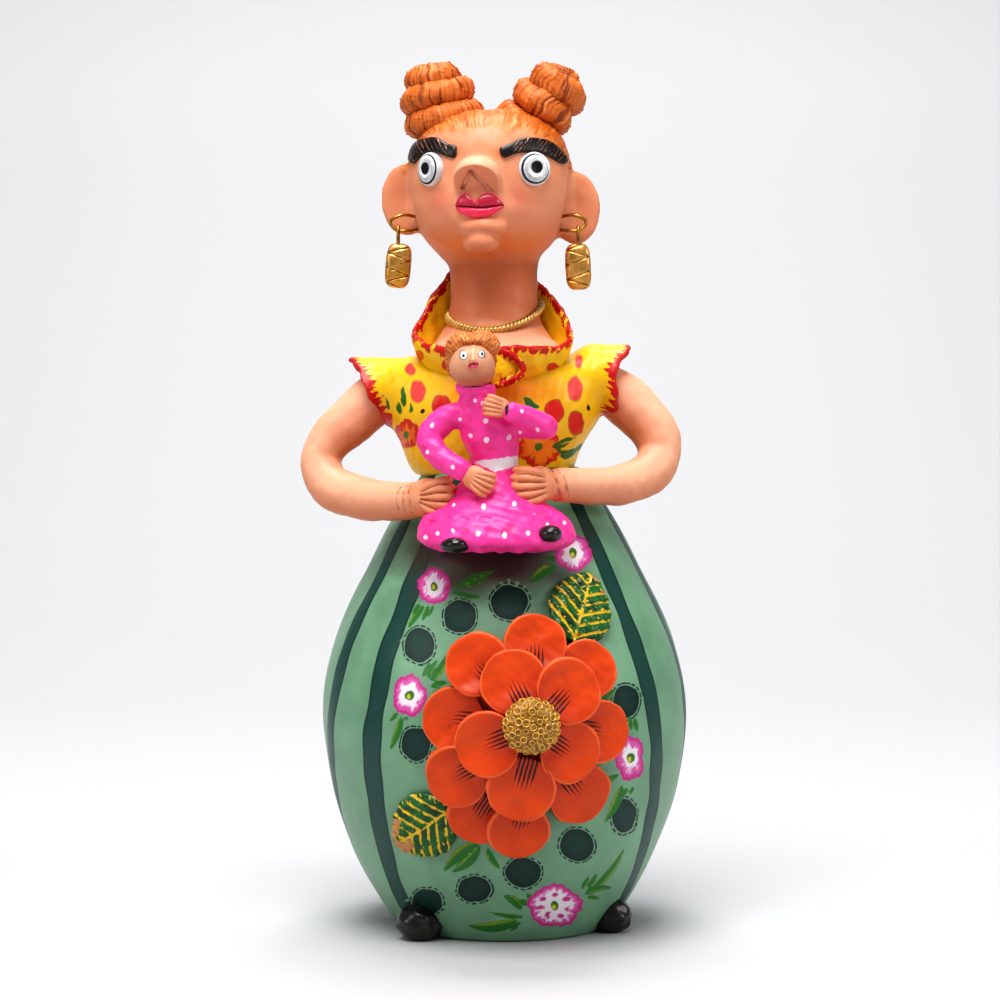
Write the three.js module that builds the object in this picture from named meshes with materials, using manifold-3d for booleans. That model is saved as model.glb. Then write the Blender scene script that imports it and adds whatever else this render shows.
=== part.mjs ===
// A painted clay folk figurine: a woman whose round skirt is the body of the figure, with a ruffled
// blouse, a standing collar, coiled hair buns, a seated child held before her, a large flower and
// two leaves on the skirt. All of that is one fired-clay body. Each ear carries a wire hoop, a wire
// link and a clay drop, which are pieces of their own.
// Millimetres, +Z up, the face towards -Y. The origin is the middle of the base.
import * as THREE from "three";
import { LoftGeometry } from "three/addons/geometries/LoftGeometry.js";
import { mergeVertices } from "three/addons/utils/BufferGeometryUtils.js";
import Module from "manifold-3d";

const wasm = await Module();
wasm.setup();

// Driving dimensions
const BASE_RADIUS = 40; // flat underside
const BODY_LEAN = -4.5; // the torso sits this far to the figure's right of the skirt
const HEAD_X = -5.2;
const HEAD_DEPTH = 0.94; // depth of the head against its width
const FACE_TURN = -9; // degrees that the face turns to the figure's right
const WIRE = 0.6; // radius of the earring wire
const FIT_GAP = 0.3; // space between pieces that touch
const SMOOTHING = 0.12; // facets closer than this to one plane are merged
const SKIRT_GREEN = 0x7aa383;
const GOLD = 0xb98a3e;
const FLOWER = { azimuth: 7.6, z: 82 }; // middle of the large flower

// Skirt outline, as height and radius
const SKIRT_OUTLINE = [
  [1.5, BASE_RADIUS + 0.9], [9, 46], [28, 56.2], [52, 64], [78, 67.4],
  [105, 62.8], [134, 49.5], [152, 39.8], [168, 29.5],
];
// Blouse, as height, half width and half depth
const BLOUSE = [
  [165.2, 26, 23], [167, 29.4, 26.2], [177, 34, 28.4], [185, 38.2, 29], [192, 41.2, 28.5],
  [199, 42.2, 26.5], [205.5, 38.6, 23], [212, 22, 15],
];
// Chest, neck and head, as height and half width
const HEAD_OUTLINE = [
  [208, 27.4], [211, 27.4], [219, 20], [225, 17.2], [241, 16.6], [247, 18.8], [253.5, 24.4],
  [261, 28.2], [272, 29.8], [283, 29.2], [291, 26.2], [297, 19.5], [299.8, 12],
];
const HEAD_TOP = 300.8;

const { degToRad, lerp, smoothstep } = THREE.MathUtils;
const vec = (x, y, z) => new THREE.Vector3(x, y, z);

// A point by its azimuth, counted from the front towards the figure's left.
function around(azimuth, radius, z, x = 0, depth = 1) {
  const a = degToRad(azimuth);
  return vec(x + radius * Math.sin(a), -radius * Math.cos(a) * depth, z);
}

// Reads a table of [position, value, value...] at a position, straight between its rows.
function read(table, at, column = 1) {
  const next = Math.max(1, table.findIndex((row) => row[0] >= at));
  const [low, high] = [table[next - 1], table[next]];
  return lerp(low[column], high[column], (at - low[0]) / (high[0] - low[0]));
}

const skirtCurve = new THREE.SplineCurve(SKIRT_OUTLINE.map(([z, r]) => new THREE.Vector2(r, z)));
const skirtTable = skirtCurve.getPoints(60).map((point) => [point.y, point.x]);
const skirtRadius = (z) => read(skirtTable, z);
const headRadius = (z) => read(HEAD_OUTLINE, z);

// A closed three.js geometry as a solid, faces out.
function solid(geometry) {
  const bare = geometry.index ? geometry.toNonIndexed() : geometry.clone();
  bare.deleteAttribute("normal");
  bare.deleteAttribute("uv");
  const merged = mergeVertices(bare, 1e-4);
  const corners = merged.index.array;
  const triVerts = [];
  for (let i = 0; i < corners.length; i += 3) {
    const [a, b, c] = corners.slice(i, i + 3);
    if (a !== b && b !== c && c !== a) triVerts.push(a, b, c);
  }
  const make = (faces) => new wasm.Manifold(new wasm.Mesh({
    numProp: 3,
    vertProperties: new Float32Array(merged.attributes.position.array),
    triVerts: new Uint32Array(faces),
  }));
  const made = make(triVerts);
  return made.volume() > 0 ? made : make([...triVerts].reverse());
}

const join = (solids) => solids.reduce((whole, next) => whole.add(next));

// A body through rings of points. Its two ends are closed by shrinking the end ring to its middle.
function loft(rings) {
  const hub = (points) => {
    const middle = points.reduce((sum, point) => sum.add(point), vec(0, 0, 0)).divideScalar(points.length);
    return points.map(() => middle);
  };
  return solid(new LoftGeometry([hub(rings[0]), ...rings, hub(rings.at(-1))]));
}

// An elliptical ring of points round a middle, in the plane of two unit directions.
function ring(middle, across, up, halfAcross, halfUp, sides) {
  return Array.from({ length: sides }, (_, i) => {
    const a = (i / sides) * 2 * Math.PI;
    return middle.clone()
      .addScaledVector(across, halfAcross * Math.cos(a))
      .addScaledVector(up, halfUp * Math.sin(a));
  });
}

// A body through level rings, given as [height, middle x, middle y, half width, half depth].
function stack(levels, sides) {
  const rings = levels.map(([z, x, y, width, depth]) =>
    ring(vec(x, y, z), vec(1, 0, 0), vec(0, 1, 0), width, depth, sides));
  return loft(rings);
}

// A ball squeezed to three half sizes, turned by degrees about X, Y and Z, and put in place.
function blob(middle, halves, { turn = [0, 0, 0], sides = 12, rows = 8 } = {}) {
  const ball = new THREE.SphereGeometry(1, sides, rows);
  ball.rotateX(Math.PI / 2);
  ball.scale(...halves);
  const turned = new THREE.Euler(...turn.map(degToRad), "ZYX");
  ball.applyMatrix4(new THREE.Matrix4().makeRotationFromEuler(turned));
  ball.translate(...middle);
  return solid(ball);
}

// A round limb of clay through stops of [x, y, z, radius], with rounded ends.
function limb(stops, sides, steps) {
  const curve = new THREE.CatmullRomCurve3(stops.map(([x, y, z]) => vec(x, y, z)));
  const frames = curve.computeFrenetFrames(steps);
  const radiusAt = (t) => {
    const place = t * (stops.length - 1);
    const i = Math.min(Math.floor(place), stops.length - 2);
    return lerp(stops[i][3], stops[i + 1][3], place - i);
  };
  const rings = [];
  const addRing = (step, shift, size) => {
    const t = step / steps;
    const middle = curve.getPoint(t).addScaledVector(frames.tangents[step], shift);
    const radius = radiusAt(t) * size;
    rings.push(ring(middle, frames.normals[step], frames.binormals[step], radius, radius, sides));
  };
  addRing(0, -0.8 * radiusAt(0), 0.5);
  for (let step = 0; step <= steps; step++) addRing(step, 0, 1);
  addRing(steps, 0.8 * radiusAt(1), 0.5);
  return loft(rings);
}

// A wire along a curve, open with flat ends or closed on itself.
function wire(points, radius, closed, steps) {
  const path = new THREE.CatmullRomCurve3(points, closed);
  const section = new THREE.Shape().absarc(0, 0, radius, 0, 2 * Math.PI);
  const options = { extrudePath: path, steps, curveSegments: 3, bevelEnabled: false };
  return solid(new THREE.ExtrudeGeometry(section, options));
}

function skirt() {
  const outline = [
    new THREE.Vector2(0, 0),
    new THREE.Vector2(BASE_RADIUS - 1, 0),
    ...skirtCurve.getPoints(12),
    new THREE.Vector2(0, 174),
  ];
  const sides = 32;
  const lathe = new THREE.LatheGeometry(outline, sides);
  lathe.rotateX(Math.PI / 2);
  const roundness = 1 / Math.cos(Math.PI / sides) ** 0.5; // facets lie half inside, half outside
  lathe.scale(roundness, roundness, 1);
  return solid(lathe);
}

// A shoe under the hem, flat underneath.
function shoe(azimuth, distance, halves) {
  const toe = around(azimuth, distance, 6);
  const clay = blob(toe, halves, { turn: [0, 0, azimuth], sides: 10, rows: 6 });
  const below = new THREE.BoxGeometry(60, 60, 20);
  below.translate(toe.x, toe.y, -10);
  return clay.subtract(solid(below));
}

function blouse() {
  return stack(BLOUSE.map(([z, width, depth]) => [z, BODY_LEAN, 0, width, depth]), 18);
}

// A flared cap sleeve. The rim is a wavy ring that leans outwards and down over the arm.
function sleeve(side, rim) {
  const lean = degToRad(rim.lean);
  const out = vec(side * Math.cos(lean), 0, -Math.sin(lean));
  const up = vec(side * Math.sin(lean), 0, Math.cos(lean));
  const deep = vec(0, 1, 0);
  const level = (x, z, halfUp, halfDeep) => ring(vec(side * x, 0, z), up, deep, halfUp, halfDeep, 14);
  const edge = (inset, drop) => ring(vec(side * rim.x, 0, rim.z), up, deep, rim.half, 15.5, 14)
    .map((point, i) => {
      const wave = Math.sin((i / 14) * 2 * Math.PI * rim.waves + rim.phase);
      const middle = vec(side * rim.x, 0, rim.z);
      const spoke = point.clone().sub(middle).normalize();
      return point.addScaledVector(out, rim.wave * wave - drop).addScaledVector(spoke, wave * 0.5 - inset);
    });
  const rings = [
    level(20, 201, 8, 12),
    level(rim.x - 13.5, rim.z + 4, 9.6, 12.6),
    level(rim.x - 6, rim.z + 2.6, 11.2, 13.4),
    edge(0, 0),
    edge(1.9, 0.3),
    level(rim.x - 5, rim.z + 1.6, 8.6, 10.8),
  ];
  return loft(rings);
}

// The standing collar: low and wide like a bowl in front, high and close behind the neck.
function collar() {
  const steps = 22;
  const rings = Array.from({ length: steps + 1 }, (_, i) => {
    const azimuth = (i % steps) * (360 / steps);
    const back = (1 - Math.cos(degToRad(azimuth))) / 2;
    const rimZ = 212 + 34 * smoothstep(back, 0, 1) ** 1.3 + 0.7 * Math.sin(degToRad(5 * azimuth));
    const rimRadius = 33.4 - 13.6 * smoothstep(back, 0.2, 0.8);
    const footZ = 198.5 + 8 * back;
    const footRadius = 25 - 4 * back;
    const wall = 2.4;
    const outside = (t) => around(azimuth, lerp(footRadius, rimRadius, Math.sin((t * Math.PI) / 2)),
      lerp(footZ, rimZ, t), BODY_LEAN);
    const inside = (t) => around(azimuth, lerp(footRadius, rimRadius, Math.sin((t * Math.PI) / 2)) - wall,
      lerp(footZ + 4, rimZ - 0.3, t), BODY_LEAN);
    return [outside(0), outside(0.35), outside(1), inside(1), inside(0.5), inside(0)];
  });
  return solid(new LoftGeometry(rings));
}

// The pointed end of the collar, folded forwards over the chest.
function lapel() {
  const shape = new THREE.Shape()
    .moveTo(-7, 213).lineTo(-1.5, 212).quadraticCurveTo(6, 207, 7, 203.5)
    .quadraticCurveTo(4, 200.5, -3, 198.5).lineTo(-8, 200);
  const slab = new THREE.ExtrudeGeometry(shape, { depth: 5.5, curveSegments: 3, bevelEnabled: false });
  slab.rotateX(Math.PI / 2);
  slab.translate(0, -30.5, 0);
  return solid(slab);
}

// The chest that shows inside the collar, the neck and the head in one turned outline.
function head() {
  const outline = [
    new THREE.Vector2(0, HEAD_OUTLINE[0][0]),
    ...HEAD_OUTLINE.map(([z, r]) => new THREE.Vector2(r, z)),
    new THREE.Vector2(0, HEAD_TOP),
  ];
  const lathe = new THREE.LatheGeometry(outline, 18);
  lathe.rotateX(Math.PI / 2);
  lathe.scale(1, HEAD_DEPTH, 1);
  lathe.translate(HEAD_X, 0, 0);
  return solid(lathe);
}

function ear(azimuth, z) {
  return blob(around(azimuth, 31.4, z, HEAD_X), [9.4, 3, 13.4],
    { turn: [0, 0, azimuth < 0 ? azimuth + 90 : azimuth - 90], sides: 12, rows: 6 });
}

// A ball nose, sliced flat underneath.
function nose() {
  const middle = around(FACE_TURN, 29.4, 274, HEAD_X);
  const ball = blob(middle, [8.7, 9.4, 8.1], { turn: [0, 0, FACE_TURN], sides: 11, rows: 7 });
  const slice = new THREE.BoxGeometry(40, 40, 20);
  slice.rotateX(degToRad(-45));
  slice.rotateZ(degToRad(FACE_TURN));
  const down = around(FACE_TURN, Math.SQRT1_2, -Math.SQRT1_2);
  slice.translate(...middle.clone().addScaledVector(down, 3.2 + 10));
  return ball.subtract(solid(slice));
}

function mouthAndChin() {
  const facing = { turn: [0, 0, FACE_TURN], sides: 8, rows: 4 };
  const at = (azimuth, radius, z) => around(FACE_TURN + azimuth, radius, z, HEAD_X, HEAD_DEPTH);
  return [
    blob(at(-7, 28.4, 265.3), [5.2, 3.6, 2.9], facing),
    blob(at(7, 28.4, 265.3), [5.2, 3.6, 2.9], facing),
    blob(at(0, 28.2, 262), [7.6, 3.6, 2.7], facing),
    blob(at(2, 24.6, 253.6), [8.4, 6.4, 6], facing),
  ];
}

// A flat clay disc for an eye, square to the head.
function eye(azimuth) {
  const disc = new THREE.CylinderGeometry(5.6, 6.1, 3.4, 12);
  disc.rotateZ(degToRad(azimuth));
  disc.translate(...around(azimuth, headRadius(278), 278, HEAD_X, HEAD_DEPTH));
  return solid(disc);
}

// A brow: a strip of clay bent round the head, arched over the eye.
function brow(side) {
  const steps = 5;
  const rings = Array.from({ length: steps + 1 }, (_, i) => {
    const t = i / steps;
    const azimuth = FACE_TURN + side * lerp(15, 84, t);
    const z = 284 + 3 * Math.sin(Math.PI * t) - 2.4 * t;
    const half = lerp(2.1, 2.9, Math.sin(Math.PI * t));
    const at = (height, out) => around(azimuth, headRadius(z + height) + out, z + height, HEAD_X, HEAD_DEPTH);
    return [at(-half, -1.5), at(-half, 1.1), at(half, 1.3), at(half, -1.5)];
  });
  return loft(rings);
}

// A hair bun: a rope of clay wound up a leaning cone.
function bun({ foot, top, radius, rope, turns, start, winding }) {
  const axis = top.clone().sub(foot);
  const across = vec(axis.z, 0, -axis.x).normalize();
  const deep = vec(0, 1, 0);
  const steps = Math.round(turns * 6);
  const stops = Array.from({ length: steps + 1 }, (_, i) => {
    const t = i / steps;
    const a = degToRad(start) + winding * 2 * Math.PI * turns * t;
    const r = lerp(radius[0], radius[1], t);
    const point = foot.clone().addScaledVector(axis, t)
      .addScaledVector(across, r * Math.cos(a)).addScaledVector(deep, r * Math.sin(a));
    return [...point, lerp(rope[0], rope[1], t)];
  });
  const level = (t, size) => {
    const middle = foot.clone().addScaledVector(axis, t);
    return [middle.z, middle.x, middle.y, size, size];
  };
  const core = stack([level(-0.3, radius[0]), level(0, radius[0] + 1.5), level(1, radius[1] + 1.5)], 6);
  return limb(stops, 6, steps).add(core);
}

// The gold necklace, a ring that slopes down to the front.
function necklace() {
  const steps = 14;
  const rings = Array.from({ length: steps + 1 }, (_, i) => {
    const azimuth = (i % steps) * (360 / steps);
    const toFront = Math.cos(degToRad(azimuth));
    const middle = around(azimuth, 17.9, 225.4 - 5.6 * toFront, HEAD_X).add(vec(0, -1.4 * toFront, 0));
    return ring(middle, around(azimuth, 1, 0), vec(0, 0, 1), 2, 1.5, 4);
  });
  return solid(new LoftGeometry(rings));
}

// A hand like a mitten, flat against what it holds.
const hand = (middle, halves, turn) => blob(middle, halves, { turn: [0, turn, 0], sides: 8, rows: 4 });

function arms() {
  const right = limb([
    [-38, 0, 198, 8.4], [-49, -0.5, 192.5, 9.4], [-57.4, -1, 185.4, 9.1], [-66, -2, 177.4, 8.2],
    [-68.4, -4, 169.6, 7.7], [-63.6, -9, 162, 7.9], [-52, -18, 158, 7.9], [-38.6, -30, 157.4, 7],
    [-28.6, -42, 158.8, 5.9],
  ], 8, 12);
  const left = limb([
    [32, 0, 200, 8.4], [41.5, -0.5, 196, 9.2], [48, -1, 190.6, 9.4], [55, -2, 182.6, 9],
    [57.4, -4, 174.6, 8.2], [53.6, -9, 167.4, 8], [45, -17, 163.4, 7.4], [33.6, -29, 162.8, 6.9],
    [19.6, -43, 163.8, 6],
  ], 8, 12);
  return [
    right,
    left,
    hand([-24.2, -46.5, 159.8], [7.6, 5, 7], 8),
    hand([10.6, -49.5, 164], [7.2, 4.8, 7.3], -4),
  ];
}

function child() {
  const dress = [
    [141, -3, -48, 22, 16], [144.2, -3.1, -48.5, 27.6, 20], [149, -3.2, -47.8, 27.4, 19],
    [153.4, -3.4, -47, 24.6, 16.6], [158.4, -3.8, -46, 17.6, 12.6], [169, -4, -45, 8.7, 7.2],
  ];
  const bodice = [
    [167, -4, -45, 8.4, 7], [174.4, -3.8, -45.2, 8.8, 7.4], [180, -5, -46, 10.2, 8],
    [186, -6, -46.5, 10.4, 8.2], [191, -8, -47.2, 8.6, 7.2], [199.5, -10.4, -49, 6.2, 6],
  ];
  return [
    stack(dress, 14),
    stack(bodice, 8),
    blob([-11.4, -50.4, 206.8], [7.9, 7.9, 8.5], { turn: [0, -8, 0], sides: 8, rows: 6 }),
    blob([-11.6, -46.8, 209.6], [9.2, 8.2, 8.4], { sides: 8, rows: 5 }),
    blob([-17, -48.5, 214], [4.6, 4.4, 3.9], { sides: 7, rows: 4 }),
    blob([-7, -49, 214.6], [4.8, 4.4, 4], { sides: 7, rows: 4 }),
    limb([[-12, -46.5, 188, 4.4], [-20, -46.5, 187.8, 4.7], [-26.4, -47.5, 180.6, 4.6],
      [-22.4, -51.5, 173.8, 4.3], [-15.4, -55.6, 169.8, 3.7]], 6, 7),
    limb([[0, -47.5, 186.6, 4.4], [7.6, -48.5, 184.8, 4.3], [14.6, -51, 184.6, 4.2],
      [8, -55.2, 187.8, 4], [1.4, -57, 190.2, 3.3]], 6, 7),
    hand([-9.4, -57, 165.8], [5.2, 3.2, 5.4], 20),
    hand([-3.6, -57, 191.2], [4.6, 2.8, 4.1], -8),
    blob([-17.2, -62.5, 143.6], [5.2, 5.6, 2.9], { sides: 7, rows: 4 }),
    blob([15.6, -61.5, 147.4], [4.4, 5.4, 3], { sides: 7, rows: 4 }),
  ];
}

// Petals as [angle, distance from the middle, radius], the angle counted from the figure's left.
const INNER_PETALS = [[115, 16.6, 11.4], [45, 16.8, 12], [-33, 15, 11.2], [-102, 20.4, 11.6], [199, 15.8, 11.6]];
const OUTER_PETALS = [
  [87, 27.4, 11], [132, 28, 11.2], [175, 27, 11.4], [215, 29.6, 11.2], [239, 34.8, 10.8],
  [265, 34, 11], [306, 27, 11.2], [355, 23.6, 11.4], [43, 27, 10.6],
];

// A petal is a disc of clay that tips away from the flower's middle.
function petal([angle, distance, radius], height, tip) {
  const disc = new THREE.CylinderGeometry(radius * 0.94, radius * 1.02, 2.6, 10);
  disc.rotateX(degToRad(-tip));
  disc.translate(0, -height, distance);
  disc.rotateY(degToRad(90 - angle));
  return onSkirt(disc, FLOWER.azimuth, FLOWER.z);
}

// Puts a geometry that is modelled facing -Y at the origin on the skirt, at an azimuth and height.
function onSkirt(geometry, azimuth, z) {
  geometry.rotateZ(degToRad(azimuth));
  geometry.translate(...around(azimuth, skirtRadius(z), z));
  return solid(geometry);
}

function flower() {
  const boss = new THREE.SphereGeometry(1, 11, 4);
  boss.scale(28, 9, 28);
  const eyeOfFlower = new THREE.SphereGeometry(1, 10, 5);
  eyeOfFlower.scale(9.8, 4.8, 9.8);
  eyeOfFlower.translate(-1.2, -11.8, 0.4);
  return [
    onSkirt(boss, FLOWER.azimuth, FLOWER.z),
    ...OUTER_PETALS.map((shape) => petal(shape, 3.2, 14)),
    ...INNER_PETALS.map((shape) => petal(shape, 8.4, 8)),
    onSkirt(eyeOfFlower, FLOWER.azimuth, FLOWER.z),
  ];
}

// A leaf lying on the skirt. Its rib turns from upright, and its face slopes up with the skirt.
function leaf(azimuth, z, [halfWidth, halfLength], turn, slope) {
  const blade = new THREE.SphereGeometry(1, 12, 4);
  blade.scale(halfWidth, 2.8, halfLength);
  blade.rotateY(degToRad(turn));
  blade.rotateX(degToRad(-slope));
  blade.translate(0, -1.6, 0);
  return onSkirt(blade, azimuth, z);
}

// An earring: a bent wire loop let into the ear lobe, an oval link and a clay drop.
function earring(side, { x, y, z, halfDrop, lean }) {
  const hoop = (radius) => wire([
    vec(x - side * 5, y + 6.5, z + 2.4), vec(x - side * 4.6, y + 1.5, z + 2.8), vec(x, y - 1.6, z + 3.1),
    vec(x + side * 4.2, y - 2, z + 0.8), vec(x + side * 2.2, y - 2.6, z - 2.4),
    vec(x - side * 2, y - 2, z - 2.7), vec(x - side * 4.8, y + 1.5, z - 2.2),
    vec(x - side * 5, y + 6.5, z - 2),
  ], radius, false, 12);
  const middle = vec(x + side * 1.3, y - 2.5, z - 4.8);
  const link = (radius) => wire([
    [0, 3.8], [1.8, 2.2], [1.8, -2.2], [0, -3.8], [-1.8, -2.2], [-1.8, 2.2],
  ].map(([deep, up]) => middle.clone().add(vec(0, deep, up))), radius, true, 9);
  const bead = new THREE.SphereGeometry(1, 10, 6);
  bead.rotateX(Math.PI / 2);
  const corners = bead.attributes.position;
  const squared = (value) => Math.sign(value) * Math.abs(value) ** 0.55;
  for (let i = 0; i < corners.count; i++) {
    corners.setXYZ(i, squared(corners.getX(i)), squared(corners.getY(i)), squared(corners.getZ(i)));
  }
  bead.scale(4.7, 3.4, halfDrop);
  bead.rotateY(degToRad(lean));
  bead.translate(middle.x, middle.y, middle.z - 2.6 - halfDrop);
  const slot = new THREE.BoxGeometry(2 * (WIRE + FIT_GAP), 5.2, 2 * (WIRE + FIT_GAP) + 2);
  slot.translate(middle.x, middle.y, middle.z - 2.8);
  return {
    hoop: hoop(WIRE),
    hoopClearance: hoop(WIRE + FIT_GAP),
    link: link(WIRE),
    drop: solid(bead).subtract(solid(slot)),
  };
}

const earrings = {
  right: earring(-1, { x: -37.8, y: -2.6, z: 258.8, halfDrop: 8.2, lean: 5 }),
  left: earring(1, { x: 25.8, y: -6.2, z: 258.6, halfDrop: 8.5, lean: -3 }),
};

const clay = join([
  skirt(), shoe(-41.5, 45, [8.2, 9.5, 7.2]), shoe(62, 43.8, [7.4, 8, 7]), blouse(),
  sleeve(-1, { x: 50.5, z: 197, half: 13.8, lean: 29, wave: 0.7, waves: 3, phase: 0.6 }),
  sleeve(1, { x: 42.4, z: 200.6, half: 13.4, lean: 13, wave: 1.5, waves: 3, phase: 2.2 }),
  collar(), lapel(), head(), ear(-96, 268.2), ear(88, 264.6), nose(), ...mouthAndChin(),
  eye(FACE_TURN - 44.5), eye(FACE_TURN + 44.5), brow(-1), brow(1),
  bun({ foot: vec(-23.4, 2, 296), top: vec(-23.8, 2, 312.6), radius: [9.2, 6.8], rope: [6, 5.4],
    turns: 2.3, start: 200, winding: 1 }),
  bun({ foot: vec(11.6, 2, 296), top: vec(19, 2, 313.8), radius: [9.8, 5.3], rope: [6, 5.4],
    turns: 2.3, start: -20, winding: -1 }),
  necklace(), ...arms(), ...child(), ...flower(),
  leaf(28, 121, [10.2, 13.2], 24, 25), leaf(-26.5, 44.5, [10, 12.6], -64, -14),
])
  .subtract(earrings.right.hoopClearance)
  .subtract(earrings.left.hoopClearance)
  .simplify(SMOOTHING);

// The coils of hair close over small hollows. A hollow's own skin is left out, so it is filled.
const figurine = join(clay.decompose().filter((skin) => skin.volume() > 0));

// A solid as a named three.js mesh.
function mesh(name, shape, color, roughness, metalness = 0) {
  const { vertProperties, triVerts } = shape.getMesh();
  const geometry = new THREE.BufferGeometry();
  geometry.setAttribute("position", new THREE.BufferAttribute(vertProperties, 3));
  geometry.setIndex(new THREE.BufferAttribute(triVerts, 1));
  geometry.computeVertexNormals();
  const made = new THREE.Mesh(geometry, new THREE.MeshStandardMaterial({ color, roughness, metalness }));
  made.name = name;
  return made;
}

const group = new THREE.Group();
group.add(mesh("figurine", figurine, SKIRT_GREEN, 0.4));
for (const [side, pieces] of Object.entries(earrings)) {
  group.add(mesh(`${side}_ear_hoop`, pieces.hoop, GOLD, 0.3, 1));
  group.add(mesh(`${side}_earring_link`, pieces.link, GOLD, 0.3, 1));
  group.add(mesh(`${side}_earring_drop`, pieces.drop, GOLD, 0.35, 0.8));
}

export default group;
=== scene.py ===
# %% [markdown]
# # A painted clay figurine
#
# The real figure is made by hand in low-fired clay: a woman whose round green skirt is the body,
# with a yellow blouse, coiled hair and a small child held before her. Balls, slabs and ropes of clay
# are pressed together, fired once, painted with acrylic colours and varnished.
#
# The frame holds its true size and place. It could be dressed by changing that model, but a fixed
# frame is safer: each surface is made again, finer, in the same place, and stands for the frame's own.

# %% Load the frame
import math

import bpy
import numpy as np
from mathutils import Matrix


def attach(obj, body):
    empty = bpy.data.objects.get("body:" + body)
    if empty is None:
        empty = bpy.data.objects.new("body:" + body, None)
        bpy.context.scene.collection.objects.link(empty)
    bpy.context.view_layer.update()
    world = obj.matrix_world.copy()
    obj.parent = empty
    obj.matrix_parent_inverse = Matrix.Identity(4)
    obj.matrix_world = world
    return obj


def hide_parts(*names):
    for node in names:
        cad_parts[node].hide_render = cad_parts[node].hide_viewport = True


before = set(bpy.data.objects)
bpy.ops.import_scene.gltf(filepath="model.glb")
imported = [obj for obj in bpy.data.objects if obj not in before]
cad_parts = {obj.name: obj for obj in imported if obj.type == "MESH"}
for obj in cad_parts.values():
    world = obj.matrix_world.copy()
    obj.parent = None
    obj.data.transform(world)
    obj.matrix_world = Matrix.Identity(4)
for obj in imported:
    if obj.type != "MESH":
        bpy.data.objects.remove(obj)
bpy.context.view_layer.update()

import openvdb
from mathutils import Matrix, Vector

MM = 0.001


def set_out(name, data):
    """A new object in the scene, with its mesh, camera or lamp."""
    made = bpy.data.objects.new(name, data)
    bpy.context.scene.collection.objects.link(made)
    return made


# %% [markdown]
# ## Camera
#
# The picture was taken with a long lens, about a metre away and a little above the waist. The camera
# could be aimed by hand, but a written-down place lets the script say where any point of clay falls in
# the picture, which the painting below needs.

# %% Camera
PICTURE = 1000  # pixels along each side
CAMERA_AT = np.array([-1.6, -1000, 200])
LENS_PX = 2695  # focal length in pixels
TILT = math.radians(1.25)  # downwards
HORIZON_PX = 383  # row of the picture that is as high as the camera
shift_px = PICTURE / 2 - LENS_PX * math.tan(TILT) - HORIZON_PX

camera_data = bpy.data.cameras.new("camera")
camera = set_out("camera", camera_data)
camera.location = CAMERA_AT * MM
camera.rotation_euler = (math.pi / 2 - TILT, 0, 0)
camera_data.sensor_width = 36
camera_data.lens = camera_data.sensor_width * LENS_PX / PICTURE
camera_data.shift_y = -shift_px / PICTURE
camera_data.clip_start = 0.05
bpy.context.scene.camera = camera


def in_picture(points):
    """Where points in mm fall in the picture, as pixel columns and rows."""
    ray = points - CAMERA_AT
    forward = ray[:, 1] * math.cos(TILT) - ray[:, 2] * math.sin(TILT)
    upward = ray[:, 1] * math.sin(TILT) + ray[:, 2] * math.cos(TILT)
    column = PICTURE / 2 + LENS_PX * ray[:, 0] / forward
    row = PICTURE / 2 - LENS_PX * upward / forward - shift_px
    return np.stack([column, row], 1)


def seen(column, row, y):
    """The point in mm that the picture shows at a place, y mm behind the figure's axis."""
    rise = (PICTURE / 2 - shift_px - row) / LENS_PX
    way = np.array([
        (column - PICTURE / 2) / LENS_PX, math.cos(TILT) + rise * math.sin(TILT),
        rise * math.cos(TILT) - math.sin(TILT)])
    return CAMERA_AT + way * (y - CAMERA_AT[1]) / way[1]


print("lens, mm:", round(camera_data.lens, 1), " foot of the axis in the picture:",
    in_picture(np.zeros((1, 3))).round(1))

# %% [markdown]
# ## Numbers shaped by hand
#
# Clay that is rolled and pressed is never exact. A few small functions give smooth curves through a
# few stops, soft steps, and the slow unevenness of a hand-made surface.

# %% Curves, steps and unevenness
def ease(low, high, value):
    """A soft step from 0 at low to 1 at high."""
    t = np.clip((value - low) / (high - low), 0, 1)
    return t * t * (3 - 2 * t)


def spline(stops, count):
    """Points on a smooth curve through the stops."""
    stops = np.array(stops, float)
    run = np.vstack([2 * stops[0] - stops[1], stops, 2 * stops[-1] - stops[-2]])
    t = np.linspace(0, len(stops) - 1, count)
    i = np.minimum(t.astype(int), len(stops) - 2)
    f = (t - i)[:, None]
    a, b, c, d = (run[i + k] for k in range(4))
    return 0.5 * (2 * b + (c - a) * f + (2 * a - 5 * b + 4 * c - d) * f**2 + (3 * b - a - 3 * c + d) * f**3)


def full_turn(count):
    """Angles round a full turn in equal steps."""
    return np.linspace(0, 2 * math.pi, count, endpoint=False)


def wobble(points, size, seed=0):
    """Smooth unevenness from about -1 to 1, with bumps about size mm apart."""
    dice = np.random.default_rng(seed)
    total = np.zeros(len(points))
    for _ in range(6):
        way = dice.normal(size=points.shape[1])
        way *= 2 * math.pi / size * dice.uniform(0.6, 1.4) / np.linalg.norm(way)
        total += np.sin(points @ way + dice.uniform(0, 2 * math.pi))
    return total / 2.4


def around(azimuth, radius, z, x=0, depth=1):
    """Points by azimuth in degrees, counted from the front towards the figure's left."""
    a = np.radians(azimuth)
    return np.stack(
        np.broadcast_arrays(x + radius * np.sin(a), -radius * np.cos(a) * depth, np.asarray(z, float)), -1)


def turning(x=0, y=0, z=0):
    """The matrix that turns about X, then Y, then Z, in degrees."""
    turn = Matrix.Identity(3)
    for angle, axis in ((x, "X"), (y, "Y"), (z, "Z")):
        turn = Matrix.Rotation(math.radians(angle), 3, axis) @ turn
    return np.array(turn)


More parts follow.
